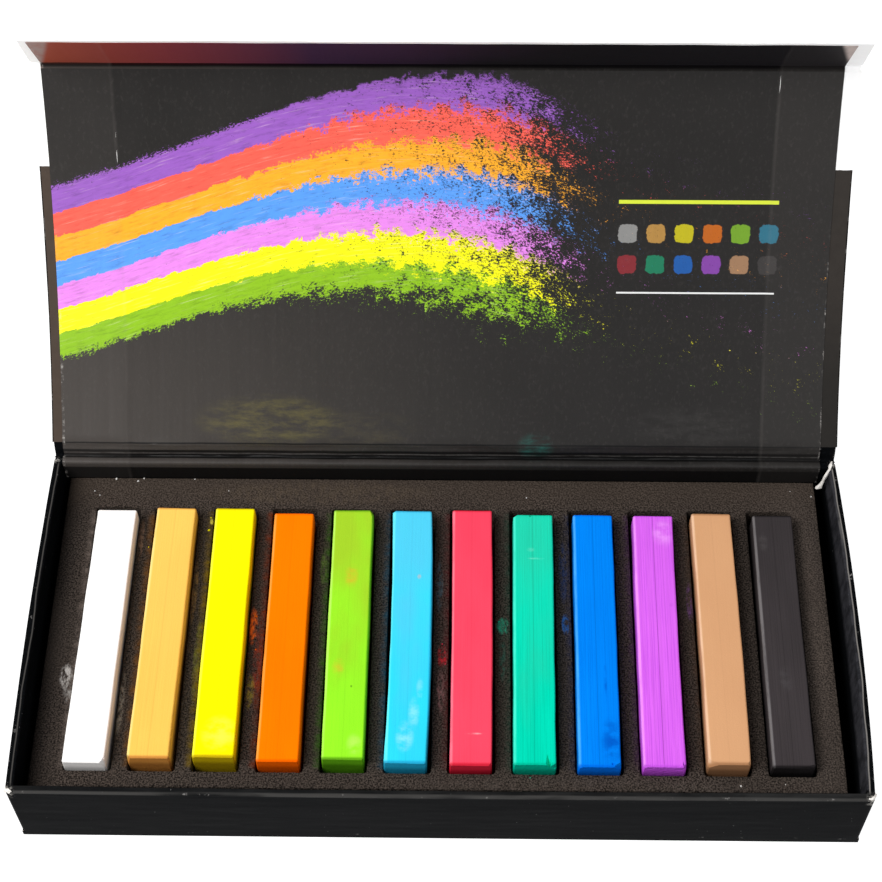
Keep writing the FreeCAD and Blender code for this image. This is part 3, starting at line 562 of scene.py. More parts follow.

# %% [markdown]
# Both linings are the same stock: a soft black with a vertical sheen, a little paler along the
# line where the turned-in cover paper makes a step under it. A painted glare lightens the lower
# left, and on the lid's lining the folds of the hinge carry painted shade and a painted highlight.
# One function makes both, each in its own board's frame, and the print goes on top.

# %% Finish: printed liner
def printed(name, hinge, rise, flap=False):
    """The lining of the lid or of the flap, in the frame of the board it is glued to."""
    sheet = Finish(name, IOR=1.1 if flap else 1.3)
    across, along, out = sheet.local(hinge, rise)
    clouds = sheet.noise(0.05, 3)
    fibre = sheet.noise(1.4, 4, 0.65, stretch=(1, 1.6, 1.6))
    # Painted glare: the sheet is lighter towards its lower left.
    painted_glare = across.climb(40, -100) * along.climb(84, 0)
    sheet.tone = sheet.mix(clouds, (26, 25, 24), (36, 34, 33))
    sheet.lay(painted_glare * 0.75, (70, 65, 62))
    sheet.lay(fibre.climb(0.5, 0.8) * 0.2, (84, 80, 78))
    if flap:
        flap_print(sheet, across, along, out)
    else:
        chalk_ribbons(sheet, across, along)
        chips(sheet, across, along)
        streak_mask = sheet.noise(0.5, 5, 0.7, stretch=(3, 1, 1)).climb(0.35, 0.75)
        sheet.marks(across, along, SMEARS, 0.9, streak_mask)
        folds(sheet, along)
    # A faint paler line along the step over the turned-in cover paper.
    step = abs(across).between(75.7, 76.4, 0.3) * sheet.noise(0.05, 2).climb(0.3, 0.7)
    sheet.lay(step * 0.07 + abs(across).climb(75.8, 76.4) * 0.03, (136, 130, 126))
    edge = abs(across + 0.65).climb(90.5, 90.8)
    frayed = sheet.noise(0.5, 5, 0.75).climb(0.5, 0.7) * along.climb(62, 20)
    sheet.lay(edge * frayed * 0.75, (176, 172, 168))
    sheen = sheet.noise(0.12, 3, stretch=(1, 14, 14))
    return sheet.done(0.42 + 0.12 * clouds + 0.1 * fibre, sheen * 0.5 + fibre * 0.01)


LINER = printed("printed_liner", HINGE, RISE)
FLAP_LINER = printed("flap_liner_print", FLAP_HINGE, FLAP_RISE, flap=True)
print("liner:", len(LINER.node_tree.nodes), "nodes")

# %% [markdown]
# Each chalk has six values: its colour as moulded, its colour in low spots, which is also laid on
# its right side as painted shade, how striped and how dusty it is, and the colours of its dust and
# of its ends. The end colour is partly the broken chalk and partly painted shade, and a darker
# copy of it is the painted shadow on the stick's foot. The marks that single sticks have got in
# use are given by their place on the top face, their reach, their colour and how strong they are.

# %% Colours of the chalks
CHALK = {
    "white": ((250, 250, 250), (246, 222, 208), 0.08, 0.05, (255, 254, 250), (255, 252, 250)),
    "ochre": ((240, 198, 92), (240, 160, 62), 0.15, 0.25, (244, 206, 106), (196, 116, 54)),
    "yellow": ((244, 242, 4), (248, 200, 2), 0.08, 0.1, (246, 244, 24), (176, 136, 16)),
    "orange": ((244, 124, 0), (240, 92, 1), 0.08, 0.15, (246, 134, 1), (250, 92, 0)),
    "lime": ((150, 238, 40), (108, 200, 30), 0.1, 0.7, (166, 192, 44), (74, 140, 16)),
    "light_blue": ((46, 218, 242), (30, 172, 224), 0.12, 0.55, (96, 196, 238), (34, 156, 206)),
    "red": ((243, 74, 100), (232, 42, 70), 0.1, 0.15, (246, 62, 90), (204, 14, 40)),
    "teal": ((1, 218, 182), (0, 176, 142), 0.32, 0.3, (64, 194, 160), (0, 192, 156)),
    "blue": ((1, 132, 244), (0, 100, 214), 0.3, 0.1, (6, 140, 246), (0, 106, 232)),
    "purple": ((220, 105, 241), (184, 72, 218), 0.5, 0.15, (216, 104, 240), (200, 84, 232)),
    "tan": ((213, 161, 118), (196, 142, 102), 0.06, 0.0, (213, 161, 118), (160, 112, 76)),
    "black": ((62, 57, 59), (40, 37, 38), 0.24, 0.3, (48, 45, 46), (6, 6, 6)),
}
TURNED = dict(zip(COLOURS, (0.6, 0.6, 0.35, 0.25, 0.05, 0.25, 0.05, 0.35, 0.25, 0.35, -0.05,
                            0.3)))
MARKS = {
    "yellow": [((1.0, -28.0), (4.6, 5.0), (255, 255, 110), 0.5)],
    "lime": [((0.2, 12.6), (2.0, 3.8), (232, 160, 50), 0.6),
             ((-1.8, -11.3), (1.8, 3.0), (220, 172, 50), 0.6),
             ((1.3, -16.1), (0.3, 0.4), (70, 110, 24), 0.8),
             ((2.5, -30.5), (2.2, 3.4), (206, 250, 120), 0.5)],
    "light_blue": [((1.8, 12.5), (0.6, 0.8), (210, 170, 150), 0.6),
                   ((-0.5, -28.4), (2.4, 4.5), (190, 244, 255), 0.5),
                   ((1.4, -22.5), (1.6, 4.5), (190, 244, 255), 0.4),
                   ((2.6, -16.6), (1.0, 3.4), (190, 244, 255), 0.3)],
    "red": [((0.6, -27.5), (2.4, 0.3), (255, 206, 214), 0.6)],
    "teal": [((0.6, 17.6), (2.4, 0.35), (150, 250, 226), 0.5),
             ((-0.6, 20.0), (1.2, 0.7), (140, 244, 220), 0.4)],
    "blue": [((2.8, -29.0), (3.0, 7.0), (0, 70, 180), 0.8),
             ((1.8, -13.6), (0.5, 5.2), (0, 84, 196), 0.8)],
    "purple": [((2.2, 24.8), (3.0, 4.6), (246, 170, 255), 0.6),
               ((3.3, 5.5), (0.7, 0.7), (176, 80, 210), 0.6)],
    "black": [((-0.2, -13.3), (2.0, 4.0), (86, 84, 86), 0.35),
              ((-2.6, 22.6), (1.4, 3.0), (90, 86, 86), 0.4)],
}

print("marks of use", sum(len(marks) for marks in MARKS.values()))

# %% [markdown]
# The insert is fine black foam that has browned a little and holds chalk dust. Cell noise makes
# its open pores. Painted shadow darkens it beside the left wall and between the sticks, and
# painted light brightens it towards the right wall. Each slot is tinted on its right side by its
# own stick. Chalk that came off lies in soft smudges beside the sticks, each given by its place,
# its reach and its pigment; the last one, along the right wall, is painted light.

# %% Finish: foam with chalk dust
SLOT_PITCH = 14.18
FIRST_WEB = -86.98
SMUDGES = [
    ((-85.4, -12.4), (1.7, 3.6), (205, 200, 196), 0.75),
    ((-84.6, -16.5), (1.2, 3.0), (190, 186, 182), 0.45),
    ((-72.3, -19.0), (1.1, 9.0), (170, 162, 150), 0.4),
    ((-71.9, 24.0), (0.8, 7.0), (150, 120, 100), 0.4),
    ((-58.0, 10.0), (0.9, 10.0), (190, 150, 90), 0.22),
    ((-55.4, 29.4), (0.6, 1.2), (238, 226, 90), 0.6),
    ((-56.0, -8.0), (1.0, 12.0), (120, 124, 40), 0.35),
    ((-43.6, 1.0), (1.2, 5.5), (226, 104, 24), 0.8),
    ((-42.0, -8.0), (1.3, 12.0), (150, 48, 20), 0.4),
    ((-43.2, -16.0), (1.2, 5.0), (176, 160, 40), 0.3),
    ((-28.0, 17.0), (1.0, 6.0), (110, 150, 50), 0.25),
    ((0.3, -6.5), (1.4, 3.4), (198, 36, 50), 0.75),
    ((0.0, -15.5), (1.1, 6.0), (180, 130, 130), 0.3),
    ((-0.6, 12.0), (1.0, 8.0), (90, 140, 160), 0.2),
    ((14.2, 1.4), (1.7, 2.6), (30, 150, 122), 0.85),
    ((14.0, -6.0), (0.9, 8.0), (40, 110, 96), 0.3),
    ((28.6, 2.0), (1.0, 3.2), (30, 110, 190), 0.7),
    ((28.3, 16.0), (1.2, 10.0), (30, 66, 120), 0.35),
    ((57.6, 8.0), (0.9, 6.0), (150, 90, 180), 0.25),
    ((-30, 37.5), (34, 4), (120, 104, 82), 0.14),
    ((30, -38.2), (50, 2), (120, 110, 104), 0.12),
    # Painted light, not chalk: the foam is lighter along the right wall.
    ((86.5, 4.0), (2.4, 30), (104, 92, 84), 0.16),
]


def foam(name, dusty=True):
    """Fine open foam with painted shade and light; the top slab also carries the chalk that has
    come off.
    """
    sponge = Finish(name, IOR=1.12)
    x, y = sponge.x, sponge.y
    cell = sponge.cells(1.9)
    fine = sponge.noise(2.6, 2, 0.6)
    broad = sponge.noise(0.06, 4)
    pores = sponge.mix(fine.climb(0.36, 0.64), (19, 17, 15), (80, 71, 65))
    sponge.tone = sponge.mix(cell.climb(0.05, 0.4) * 0.4 + 0.6, (15, 12, 11), pores)
    # Painted shadow of the left wall on the foam beside it.
    sponge.lay(x.climb(-82.0, -91.5) * 0.85, (9, 8, 8))
    # Painted shade on the foam between the sticks.
    sponge.lay(abs(x).climb(86, 80) * y.between(-33, 30, 3) * 0.28, (13, 12, 11))
    # Painted light: the foam is lighter towards the right wall.
    sponge.lay(x.climb(70, 86) * 0.12, (104, 94, 88))
    sponge.lay(broad.climb(0.35, 0.7) * 0.3, (50, 44, 40))
    sponge.lay(y.climb(30, 42) * 0.4, (72, 62, 54))
    sponge.lay(fine.climb(0.73, 0.78) * 0.3, (120, 110, 102))
    if dusty:
        web = (x - FIRST_WEB) / SLOT_PITCH
        slot = web.floor()
        past_web = (web - slot) * SLOT_PITCH
        beside = past_web.climb(1.6, 3.6) * past_web.climb(3.9, 3.7)
        beside = beside * y.between(-34.5, 32, 0.6) * x.climb(83, 82)
        shed = sponge.steps((slot + 0.5) / 12,
                            [[v * 0.47 for v in CHALK[colour][1]] for colour in COLOURS])
        loose = sponge.noise(0.3, 5, 0.75, stretch=(1.6, 1, 1)).climb(0.4, 0.68)
        warm = x.climb(10, -40) * 0.5 + 0.25
        sponge.lay(beside * (0.15 + 0.85 * loose) * warm, shed)
        streak_mask = sponge.noise(1.1, 5, 0.75, stretch=(1, 2.2, 1)).climb(0.38, 0.66)
        sponge.marks(x, y, SMUDGES, 0.8, streak_mask)
    return sponge.done(0.93, cell * 0.16 + fine * 0.1 + broad * 0.2)


FOAM_TOP = foam("slotted_foam")
FOAM_BACK = foam("backing_foam", dusty=False)
print("foam with", len(SMUDGES), "smudges")

# %% [markdown]
# Soft pastel is pigment and chalk pressed in a mould. It is matt all through. Faint lines run
# along it where the mould dragged, and dust lies on its far half. Its left top edge carries a
# painted highlight, its right side and its foot in the slot carry painted shade, and its ends take
# the end colour. One function makes all twelve, and each stick says how striped and how dusty it
# is.

# %% Finish: the twelve chalks
def darker(colour, share):
    return [v * share for v in colour]


def chalk(colour):
    """One stick's finish: mottle, mould lines along it, a painted highlight on its left edge,
    painted shade on its right side and foot, and stray dust.
    """
    pale, deep, lined, dusty, stray, broken = CHALK[colour]
    low, high = (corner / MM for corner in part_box(colour + "_pastel"))
    stick = Finish(colour + "_chalk", IOR=1.08)
    lean = (stick.y - low.y) / (high.y - low.y)
    slope = math.tan(math.radians(TURNED[colour]))
    across = stick.x - (low.x + high.x) / 2 - (stick.y - (low.y + high.y) / 2) * slope
    cloud = stick.noise(0.09, 3, 0.5, stretch=(1, 2.5, 1))
    grit = stick.noise(3.4, 4, 0.75)
    where = stick.point(across, stick.y, stick.z)
    comb = (across * 11.4).sine() * 0.07 + 0.175
    line = stick.noise(3.6, 2, 0.5, where, stretch=(1, 70, 1)) * 0.65 + comb
    smear = stick.noise(0.5, 4, 0.6, where, stretch=(1.5, 1, 1)).climb(0.3, 0.7)
    long_line = stick.noise(1.3, 2, 0.5, where, stretch=(1, 120, 1))
    stick.tone = stick.mix(cloud.climb(0.35, 0.7) * 0.22, pale, deep)
    stick.lay(line.climb(0.48, 0.62) * lined, deep)
    stick.lay(abs(across + 0.1).climb(0.17, 0.05) * lined * 1.4, darker(deep, 0.8))
    stick.lay(grit.climb(0.6, 0.75) * 0.2, deep)
    stick.lay((lean + (cloud - 0.5) * 1.6).climb(0.2, 0.95) * dusty, stray)
    stick.marks(across, stick.y, MARKS.get(colour, []), 1.2, stick.z.climb(19.6, 20.2), smear)
    # Painted highlight along the stick's left top edge.
    edge = across.climb(-3.95, -4.3) * stick.z.climb(19.3, 20.0)
    patchy = stick.noise(0.5, 4, 0.7, stretch=(1, 5, 1)).climb(0.3, 0.6)
    stick.lay(edge * (0.45 + 0.55 * patchy) * 0.7, [min(v * 0.75 + 80, 255) for v in pale])
    # Painted shade on the stick's right side.
    stick.lay(across.climb(4.2, 4.6) * 0.6, deep)
    # Both ends take the end colour: partly the broken chalk, partly painted shade.
    stick.lay(abs(lean - 0.5).climb(0.486, 0.497) * 0.75, broken)
    # Painted shadow on the stick's foot, down in its slot.
    stick.lay(stick.z.climb(18.6, 16.6) * 0.6, darker(broken, 0.6))
    height = grit * 0.04 + line * 0.10 * lined + long_line * 0.5 * lined + cloud * 0.1
    return stick.done(0.88, height)


CHALKS = {colour: chalk(colour) for colour in COLOURS}
print("chalks", len(CHALKS))

# %% [markdown]
# The parts that a hand seldom sees still need a true finish, because the box can be taken
# apart: greyboard with its flecks, bright steel, nickelled magnets, brown tape and torn paper.
# Five of them are one grain between two tones, so one function makes them.

# %% Finish: boards, metal, tape and torn paper
board = Finish("greyboard", IOR=1.45)
fleck = board.noise(0.8, 5, 0.75)
plies = board.noise(1.2, 2, stretch=(10, 10, 0.35))
board.tone = board.mix(fleck.climb(0.35, 0.7), (126, 120, 112), (168, 161, 150))
board.lay(board.cells(0.5).climb(0.12, 0.05) * 0.5, (70, 66, 62))
GREYBOARD = board.done(0.9, fleck * 0.05 + plies * 0.08)


def grained(name, grain, dark, light, rough, deep, contrast=None, vary=0.0, **fixed):
    """A plain stuff: one grain between two tones; the grain may vary the roughness too."""
    stuff = Finish(name, **fixed)
    grain = stuff.noise(**grain)
    stuff.tone = stuff.mix(grain.climb(*contrast) if contrast else grain, dark, light)
    return stuff.done(rough + vary * grain if vary else rough, grain * deep)


STEEL = grained("steel", dict(scale=2.5, detail=3, stretch=(9, 1, 1)), (150, 152, 155),
                (196, 198, 202), 0.28, 0.01, vary=0.2, Metallic=1.0)
NICKEL = grained("nickelled_magnet", dict(scale=0.6, detail=4), (178, 176, 172),
                 (214, 212, 206), 0.16, 0.01, vary=0.22, Metallic=1.0)
TAPE = grained("corner_tape", dict(scale=1.4, detail=3, stretch=(1, 1, 6)), (150, 120, 84),
               (186, 154, 112), 0.62, 0.06, IOR=1.45)
TORN = grained("torn_paper", dict(scale=1.8, detail=5, roughness=0.75), (206, 200, 194),
               (246, 244, 240), 0.85, 0.15, contrast=(0.3, 0.7), IOR=1.4)
LINING = grained("floor_lining", dict(scale=1.2, detail=4), (26, 26, 28), (44, 44, 46), 0.7,
                 0.03, IOR=1.45)

print("plain stuffs", [m.name for m in (GREYBOARD, STEEL, NICKEL, TAPE, TORN, LINING)])

# %% [markdown]
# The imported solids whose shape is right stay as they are, and each gets the finish of its stuff.
# Those that a bent copy or a sheet stands for are dressed too.

# %% Dress the solids that stay
DRESS = [
    (GREYBOARD, "base_board spine_board tray_board lid_board flap_board"),
    (CASE_COVER, "base_cover_paper spine_cover_paper lid_hinge_paper"),
    (LINER, "back_wall_liner lid_hinge_liner lid_liner"),
    (FLAP_LINER, "flap_hinge_liner flap_liner"), (LID_COVER, "lid_cover_paper"),
    (FLAP_COVER, "flap_cover_paper flap_hinge_paper"), (WALL_PAPER, "tray_wrap"),
    (LINING, "floor_lining"), (TAPE, "corner_tapes"), (FOAM_TOP, "foam_slotted"),
    (FOAM_BACK, "foam_backing"), (STEEL, "strike_disc_left strike_disc_right"),
    (NICKEL, "magnet_left magnet_right"),
]
DRESS += [(CHALKS[colour], colour + "_pastel") for colour in COLOURS]
for material, nodes in DRESS:
    for node in nodes.split():
        wear(NODES[node], material)
print("dressed", sum(len(nodes.split()) for _, nodes in DRESS), "of", len(NODES), "solids")

# %% [markdown]
# Board and paper are never as straight as they were cut. The bent parts start from copies of
# their dressed solids: the loose triangles are joined, planes are cut through so that there is
# something to bend, and a rule moves each point. Sculpting could do it, but a rule gives the
# same shape each time. Small helpers come first, because every piece needs the same few steps.

# %% Small helpers
def focus(piece):
    """Select one piece alone, ready for the next step."""
    bpy.ops.object.select_all(action="DESELECT")
    piece.select_set(True)
    bpy.context.view_layer.objects.active = piece


def edit(piece):
    """Open a piece for editing, with all of it selected."""
    focus(piece)
    bpy.ops.object.mode_set(mode="EDIT")
    bpy.ops.mesh.select_all(action="SELECT")


def cut(place, facing, **fill):
    """Cut through the piece that is being edited, along a plane."""
    bpy.ops.mesh.select_all(action="SELECT")
    bpy.ops.mesh.bisect(plane_co=place, plane_no=facing, **fill)


def close():
    """Leave editing."""
    bpy.ops.object.mode_set(mode="OBJECT")


def shade(angle):
    """Round off the look of edges that turn by less than an angle in degrees."""
    bpy.ops.object.shade_smooth_by_angle(angle=math.radians(angle))


def modify(piece, kind, **settings):
    """Add one modifier and apply it."""
    focus(piece)
    modifier = piece.modifiers.new("change", kind)
    for name, value in settings.items():
        setattr(modifier, name, value)
    bpy.ops.object.modifier_apply(modifier=modifier.name)


def join(first, *others):
    """Join other pieces into the first one."""
    focus(first)
    for other in others:
        other.select_set(True)
    if others:
        bpy.ops.object.join()
    return first


print("edit, cut, close, shade, modify and join are ready")

# %% [markdown]
# The first copy is the lid's cover. Glued paper is never quite flat, so its points wander by
# less than a tenth of a millimetre, which is enough to break up its shine.

# %% Copies that bend
def copy_of(node, name, body, cuts, rule, smooth=32):
    """A bent copy of a solid, which then stands for it."""
    piece = bpy.data.objects.new(name, NODES[node].data.copy())
    bpy.context.scene.collection.objects.link(piece)
    focus(piece)
    bpy.ops.mesh.customdata_custom_splitnormals_clear()
    edit(piece)
    bpy.ops.mesh.remove_doubles(threshold=0.000002)
    for place, facing in cuts:
        cut(place, facing)
    close()
    for vertex in piece.data.vertices:
        vertex.co = rule(vertex.co.copy())
    shade(smooth)
    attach(piece, body)
    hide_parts(node)
    return piece


def waver(point, pitch, reach, seed=0.0):
    """A smooth wandering vector; pitch and reach are in metres."""
    shifted = Vector(point) / pitch + Vector((seed, seed * 1.7, seed * 0.3))
    return noise.noise_vector(shifted) * reach


def handled_lid(point):
    """Paper glued to a board is never quite flat."""
    return point + waver(point, 0.02, 0.00007, 50.0)


up_the_lid = Matrix.Rotation(RISE, 3, "X") @ Vector((0, 1, 0))
lid_cuts = [(from_lid((0, LID_LOW + (LID_HIGH - LID_LOW) * i / 20, 0)), up_the_lid)
            for i in range(1, 20)]
piece = copy_of("lid_cover_paper", "lid_cover_handled", "lid", lid_cuts, handled_lid, 30)
print("lid cover", len(piece.data.polygons), "faces")

# %% [markdown]
# The tray's side walls lean out a little at their middle, as thin board does when its wrap
# dries, and the rim has small dents. Board, tape and wrap take the same rule, so that they stay
# glued to each other.

# %% Tray walls that lean out
INSIDE_X, INSIDE_Y = 0.0905, 0.0405


def leaning(point):
    """Side walls lean out at their middle, and the rim has small dents."""
    climb = ease(point.z, 0.004, RIM)
    if abs(point.x) > INSIDE_X and abs(point.y) < HALF_DEPTH:
        bulge = 1 - (point.y / HALF_DEPTH) ** 2
        point.x += (0.0012 if point.x > 0 else -0.0006) * bulge * climb
    if point.y < -INSIDE_Y and abs(point.x) < INSIDE_X:
        point.y -= 0.0003 * (1 - (point.x / INSIDE_X) ** 2) * climb
    if point.z > RIM - 0.002:
        point.z += 0.00022 * noise.noise(Vector((point.x * 90, point.y * 90, 0.5))) - 0.0001
    return point


side_cuts = [((0, y * MM, 0), (0, 1, 0)) for y in range(-40, 41, 5)]
front_cuts = [((x * MM, 0, 0), (1, 0, 0)) for x in range(-85, 86, 5)]
for node in ("tray_board", "corner_tapes", "tray_wrap"):
    copy_of(node, node + "_settled", "tray", side_cuts + front_cuts, leaning)
print("walls lean out")

# %% [markdown]
# The liner is one sheet on the real box. It starts inside the back wall, goes over the rim, dips
# into the gap behind the tray, folds up over the hinge and runs up the lid. It is made the same
# way: a flat grid whose rows are laid along a side view of that path, then given the thickness of
# paper.

# %% Sheets laid along a path
PAPER = 0.00015


def sheet_along(name, path, left, right, columns, rule, thickness=PAPER):
    """A grid whose rows follow a path seen from the side; rule may move each point."""
    piece = fresh("grid", name, x_subdivisions=columns, y_subdivisions=len(path) - 1, size=1)
    for index, vertex in enumerate(piece.data.vertices):
        row, column = divmod(index, columns + 1)
        across = left + (right - left) * column / columns
        vertex.co = rule(across, row, Vector((across, *path[row])))
    modify(piece, "SOLIDIFY", thickness=thickness, offset=-1)
    shade(50)
    return piece


def span(piece, finish, bodies, start, end, *nodes):
    """Give a sheet its finish and the places its points have now, which its pattern keeps to, and
    hide the solids it stands for.
    """
    mesh = piece.data
    places = [value for vertex in mesh.vertices for value in vertex.co]
    ones = [1.0] * len(mesh.vertices)
    mesh.attributes.new("unbent", "FLOAT_VECTOR", "POINT").data.foreach_set("vector", places)
    mesh.attributes.new("bends", "FLOAT", "POINT").data.foreach_set("value", ones)
    wear(piece, finish)
    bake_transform(piece)
    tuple(start)
    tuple(end)
    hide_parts(*nodes)
    print(piece.name, len(mesh.polygons), "faces")


print("sheets", PAPER / MM, "mm thick")

# %% [markdown]
# Now the liner itself. The heights of its rows are given one by one along the back wall and the
# gutter, and then follow the lid's own arc, so that it lies on the bowed board.

# %% The printed liner
def sag_of(along):
    """How far the lid's board, bent to one arc, stands back at a height above its hinge."""
    half = (LID_HIGH - LID_LOW) / 2
    radius = (half ** 2 + LID_SAG ** 2) / (2 * LID_SAG)
    away = min(half, abs(along - (LID_LOW + LID_HIGH) / 2))
    return math.sqrt(radius ** 2 - away ** 2) - (radius - LID_SAG)


LINER_LEFT, LINER_RIGHT = (corner.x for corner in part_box("lid_liner"))
LINER_FACE = 0.0009
GUTTER_FROM, LID_ROWS = 6, 45
GUTTER_START, GUTTER_END = (0, 0.0437, 0.0230), (0, 0.04595, 0.02584)
_, wall_face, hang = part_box("back_wall_liner")[0]
path = [(wall_face, hang), (wall_face, 0.0190), (wall_face, 0.0212), (wall_face, 0.0224),
        (wall_face + 0.0001, 0.0229), (wall_face + 0.0004, 0.02314), (0.0428, 0.02318),
        (0.0434, 0.02312), (0.04385, 0.02285), (0.04415, 0.0224), (0.0444, 0.02215),
        (0.0447, 0.02235), (0.04485, 0.0230), (0.0449, 0.0237), (0.04505, 0.02425),
        (0.0453, 0.02465), (0.0455, 0.0251), (0.0456, 0.0255)]
first_lid_row = len(path)
for i in range(LID_ROWS + 1):
    along = LID_LOW + (LID_HIGH - LID_LOW) * i / LID_ROWS
    path.append(from_lid((0, along, LINER_FACE - sag_of(along))).yz)


def liner_rule(across, row, point):
    """Turned-in paper shows through as a step near each side; the gutter is puckered."""
    if row >= first_lid_row:
        local = to_lid(point)
        inner = 1 - ease(abs(across), 0.0757, 0.0765)
        local.z -= 0.00013 * inner
        local.z += 0.00007 * noise.noise(Vector((across * 55, local.y * 30, 1.0))) * inner
        return from_lid(local)
    if row >= GUTTER_FROM:
        pull = waver((across, row * 0.0016, 0), 0.012, 0.00022, 3.0)
        pull += waver((across, row * 0.004, 0.01), 0.004, 0.00009, 9.0)
        return point + Vector((0, pull.y, pull.z))
    rub = 0.00006 * noise.noise(Vector((across * 120, row * 2.0, 4.0)))
    return point + Vector((0, -abs(rub), 0))


liner = sheet_along("printed_liner_sheet", path, LINER_LEFT, LINER_RIGHT, 150, liner_rule)
span(liner, LINER, ("tray", "lid"), GUTTER_START, GUTTER_END, "back_wall_liner",
     "lid_hinge_liner", "lid_liner")

# %% [markdown]
# The slots were stamped through the foam with a rounded knife, which presses its top edge down
# a little. The slab is a block cut by planes at the slots' edges. The slot faces are inset, their
# corners are rounded, and the rings are lowered step by step before the slot is pushed through.

# %% Slotted foam
SLOT_FIRST, SLOT_STEP, SLOT_HALF, PRESSED = -0.0781, 0.01418, 0.0053, 0.00055
SLOT_FRONT, SLOT_BACK = FOAM_LOW.y + 0.0039, FOAM_HIGH.y - 0.0086
SLOT_AREA = 2 * SLOT_HALF * (SLOT_BACK - SLOT_FRONT)


def pick(piece, test, kind="FACE"):
    """Select only the faces or edges that pass a test, while the piece is being edited."""
    close()
    mesh = piece.data
    for parts in (mesh.vertices, mesh.edges, mesh.polygons):
        parts.foreach_set("select", [False] * len(parts))
    for part in mesh.polygons if kind == "FACE" else mesh.edges:
        part.select = test(part)
    bpy.ops.object.mode_set(mode="EDIT")
    bpy.ops.mesh.select_mode(type=kind)


def in_slot(face, level=None):
    """Whether a flat face is the middle of a slot, at a level if one is asked for."""
    x = (face.center.x - SLOT_FIRST) / SLOT_STEP
    inside = abs(x - round(x)) * SLOT_STEP < 0.001 and 0 <= round(x) < len(COLOURS)
    return (inside and abs(face.normal.z) > 0.9 and face.area > 0.5 * SLOT_AREA
            and (level is None or abs(face.center.z - level) < 0.0001))


print("slots", len(COLOURS), "each", round((SLOT_BACK - SLOT_FRONT) / MM, 1), "mm long")

# %% [markdown]
# Cutting with planes keeps the slab's faces few and square. A Boolean with twelve blocks would
# leave long thin faces that shade badly where the edge is pressed down.

# %% Cutting and pressing the slots
slab = fresh("cube", "foam_slots", size=1, location=(FOAM_LOW + FOAM_HIGH) / 2)
slab.scale = FOAM_HIGH - FOAM_LOW
bpy.ops.object.transform_apply(location=True, scale=True)
edit(slab)
for i in range(len(COLOURS)):
    for side in (-1, 1):
        cut((SLOT_FIRST + SLOT_STEP * i + side * (SLOT_HALF + PRESSED), 0, 0), (1, 0, 0))
cut((0, SLOT_FRONT - PRESSED, 0), (0, 1, 0))
cut((0, SLOT_BACK + PRESSED, 0), (0, 1, 0))
pick(slab, in_slot)
bpy.ops.mesh.bevel(offset=0.0012, segments=4, affect="VERTICES")
level = FOAM_HIGH.z
for share, drop in [(0.4, 0.00004), (0.4, 0.00008), (0.2, 0.00024)]:
    pick(slab, in_slot)
    bpy.ops.mesh.inset(thickness=PRESSED * share, use_individual=True)
    pick(slab, lambda face: in_slot(face, level))
    bpy.ops.transform.translate(value=(0, 0, -drop))
    level -= drop
pick(slab, lambda face: in_slot(face, level))
bpy.ops.mesh.extrude_region_move(TRANSFORM_OT_translate={"value": (0, 0, FOAM_LOW.z - level)})
pick(slab, lambda face: in_slot(face, FOAM_LOW.z))
bpy.ops.mesh.delete(type="FACE")
bpy.ops.mesh.select_all(action="SELECT")
bpy.ops.mesh.remove_doubles(threshold=0.00002)
close()


def on_rim(place):
    """Whether a point lies on the outer edge of the slab's top."""
    sides = [abs(place[axis] - end[axis]) for axis in (0, 1) for end in (FOAM_LOW, FOAM_HIGH)]
    return abs(place.z - FOAM_HIGH.z) < 1e-6 and min(sides) < 1e-6


rim_points = {v.index for v in slab.data.vertices if on_rim(v.co)}
pick(slab, lambda edge: set(edge.vertices) <= rim_points, "EDGE")
bpy.ops.mesh.bevel(offset=0.0005, segments=2, affect="EDGES")
close()
shade(30)
wear(slab, FOAM_TOP)
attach(slab, "tray")
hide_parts("foam_slotted")
print("foam", len(slab.data.polygons), "faces")

# %% [markdown]
# A moulded stick is square with soft edges, but no two are alike. Each one starts from its
# solid, is cut across so that its faces can wander, and loses the corners that have broken off.
# A break is a plane cut with the hole filled: at which corner, how deep, and at what slant. A
# crack is a small slanted notch: its place and size in millimetres from the stick's middle, and
# its turn in degrees.

# %% Breaks and cracks
BREAKS = {
    "white": [((1, -1, 1), 0.0004, (1.1, -1.1, 0.4))],
    "ochre": [((-1, -1, 0.3), 0.0004, (-1.1, -0.9, 0.2))],
    "yellow": [((-1, -1, 1), 0.0003, (-1, -0.7, 0.9))],
    "orange": [],
    "lime": [((1, 1, 1), 0.0005, (1.0, 0.35, 0.45))],
    "light_blue": [((-1, 1, 1), 0.0003, (-1.0, 1.2, 0.6))],
    "red": [((1, -1, 1), 0.0002, (1.0, -1.0, 0.6))],
    "teal": [((-1, 1, 1), 0.0004, (-1.0, 1.3, 0.7))],
    "blue": [((1, -1, 1), 0.0006, (0.9, -1.3, 0.7)), ((-1, -1, 1), 0.0003, (-0.8, -1.2, 0.9))],
    "purple": [((1, -1, 1), 0.0003, (1.3, -0.9, 0.4)), ((-1, -1, 1), 0.0003, (-1, -1.3, 1.0))],
    "tan": [((-1, -1, 1), 0.0007, (-0.6, -1.3, 0.9)), ((1, -1, 1), 0.0003, (1.2, -0.7, 0.9))],
    "black": [((1, -1, 1), 0.0005, (0.5, -1.4, 0.6))],
}
CRACKS = {
    "teal": [((3.0, -31.9, 20.3), (2.2, 5.2, 3.6), (-8, 0, 14)),
             ((-0.4, 31.9, 20.4), (1.2, 0.9, 1.4), (0, 0, 40))],
    "purple": [((4.0, -31.9, 20.0), (0.3, 1.8, 3.0), (-8, 0, 8))],
    "white": [((4.2, -31.7, 20.2), (1.4, 0.6, 1.2), (0, 0, 30))],
    "blue": [((2.6, -31.8, 20.3), (0.8, 0.9, 1.6), (0, 30, 24))],
}
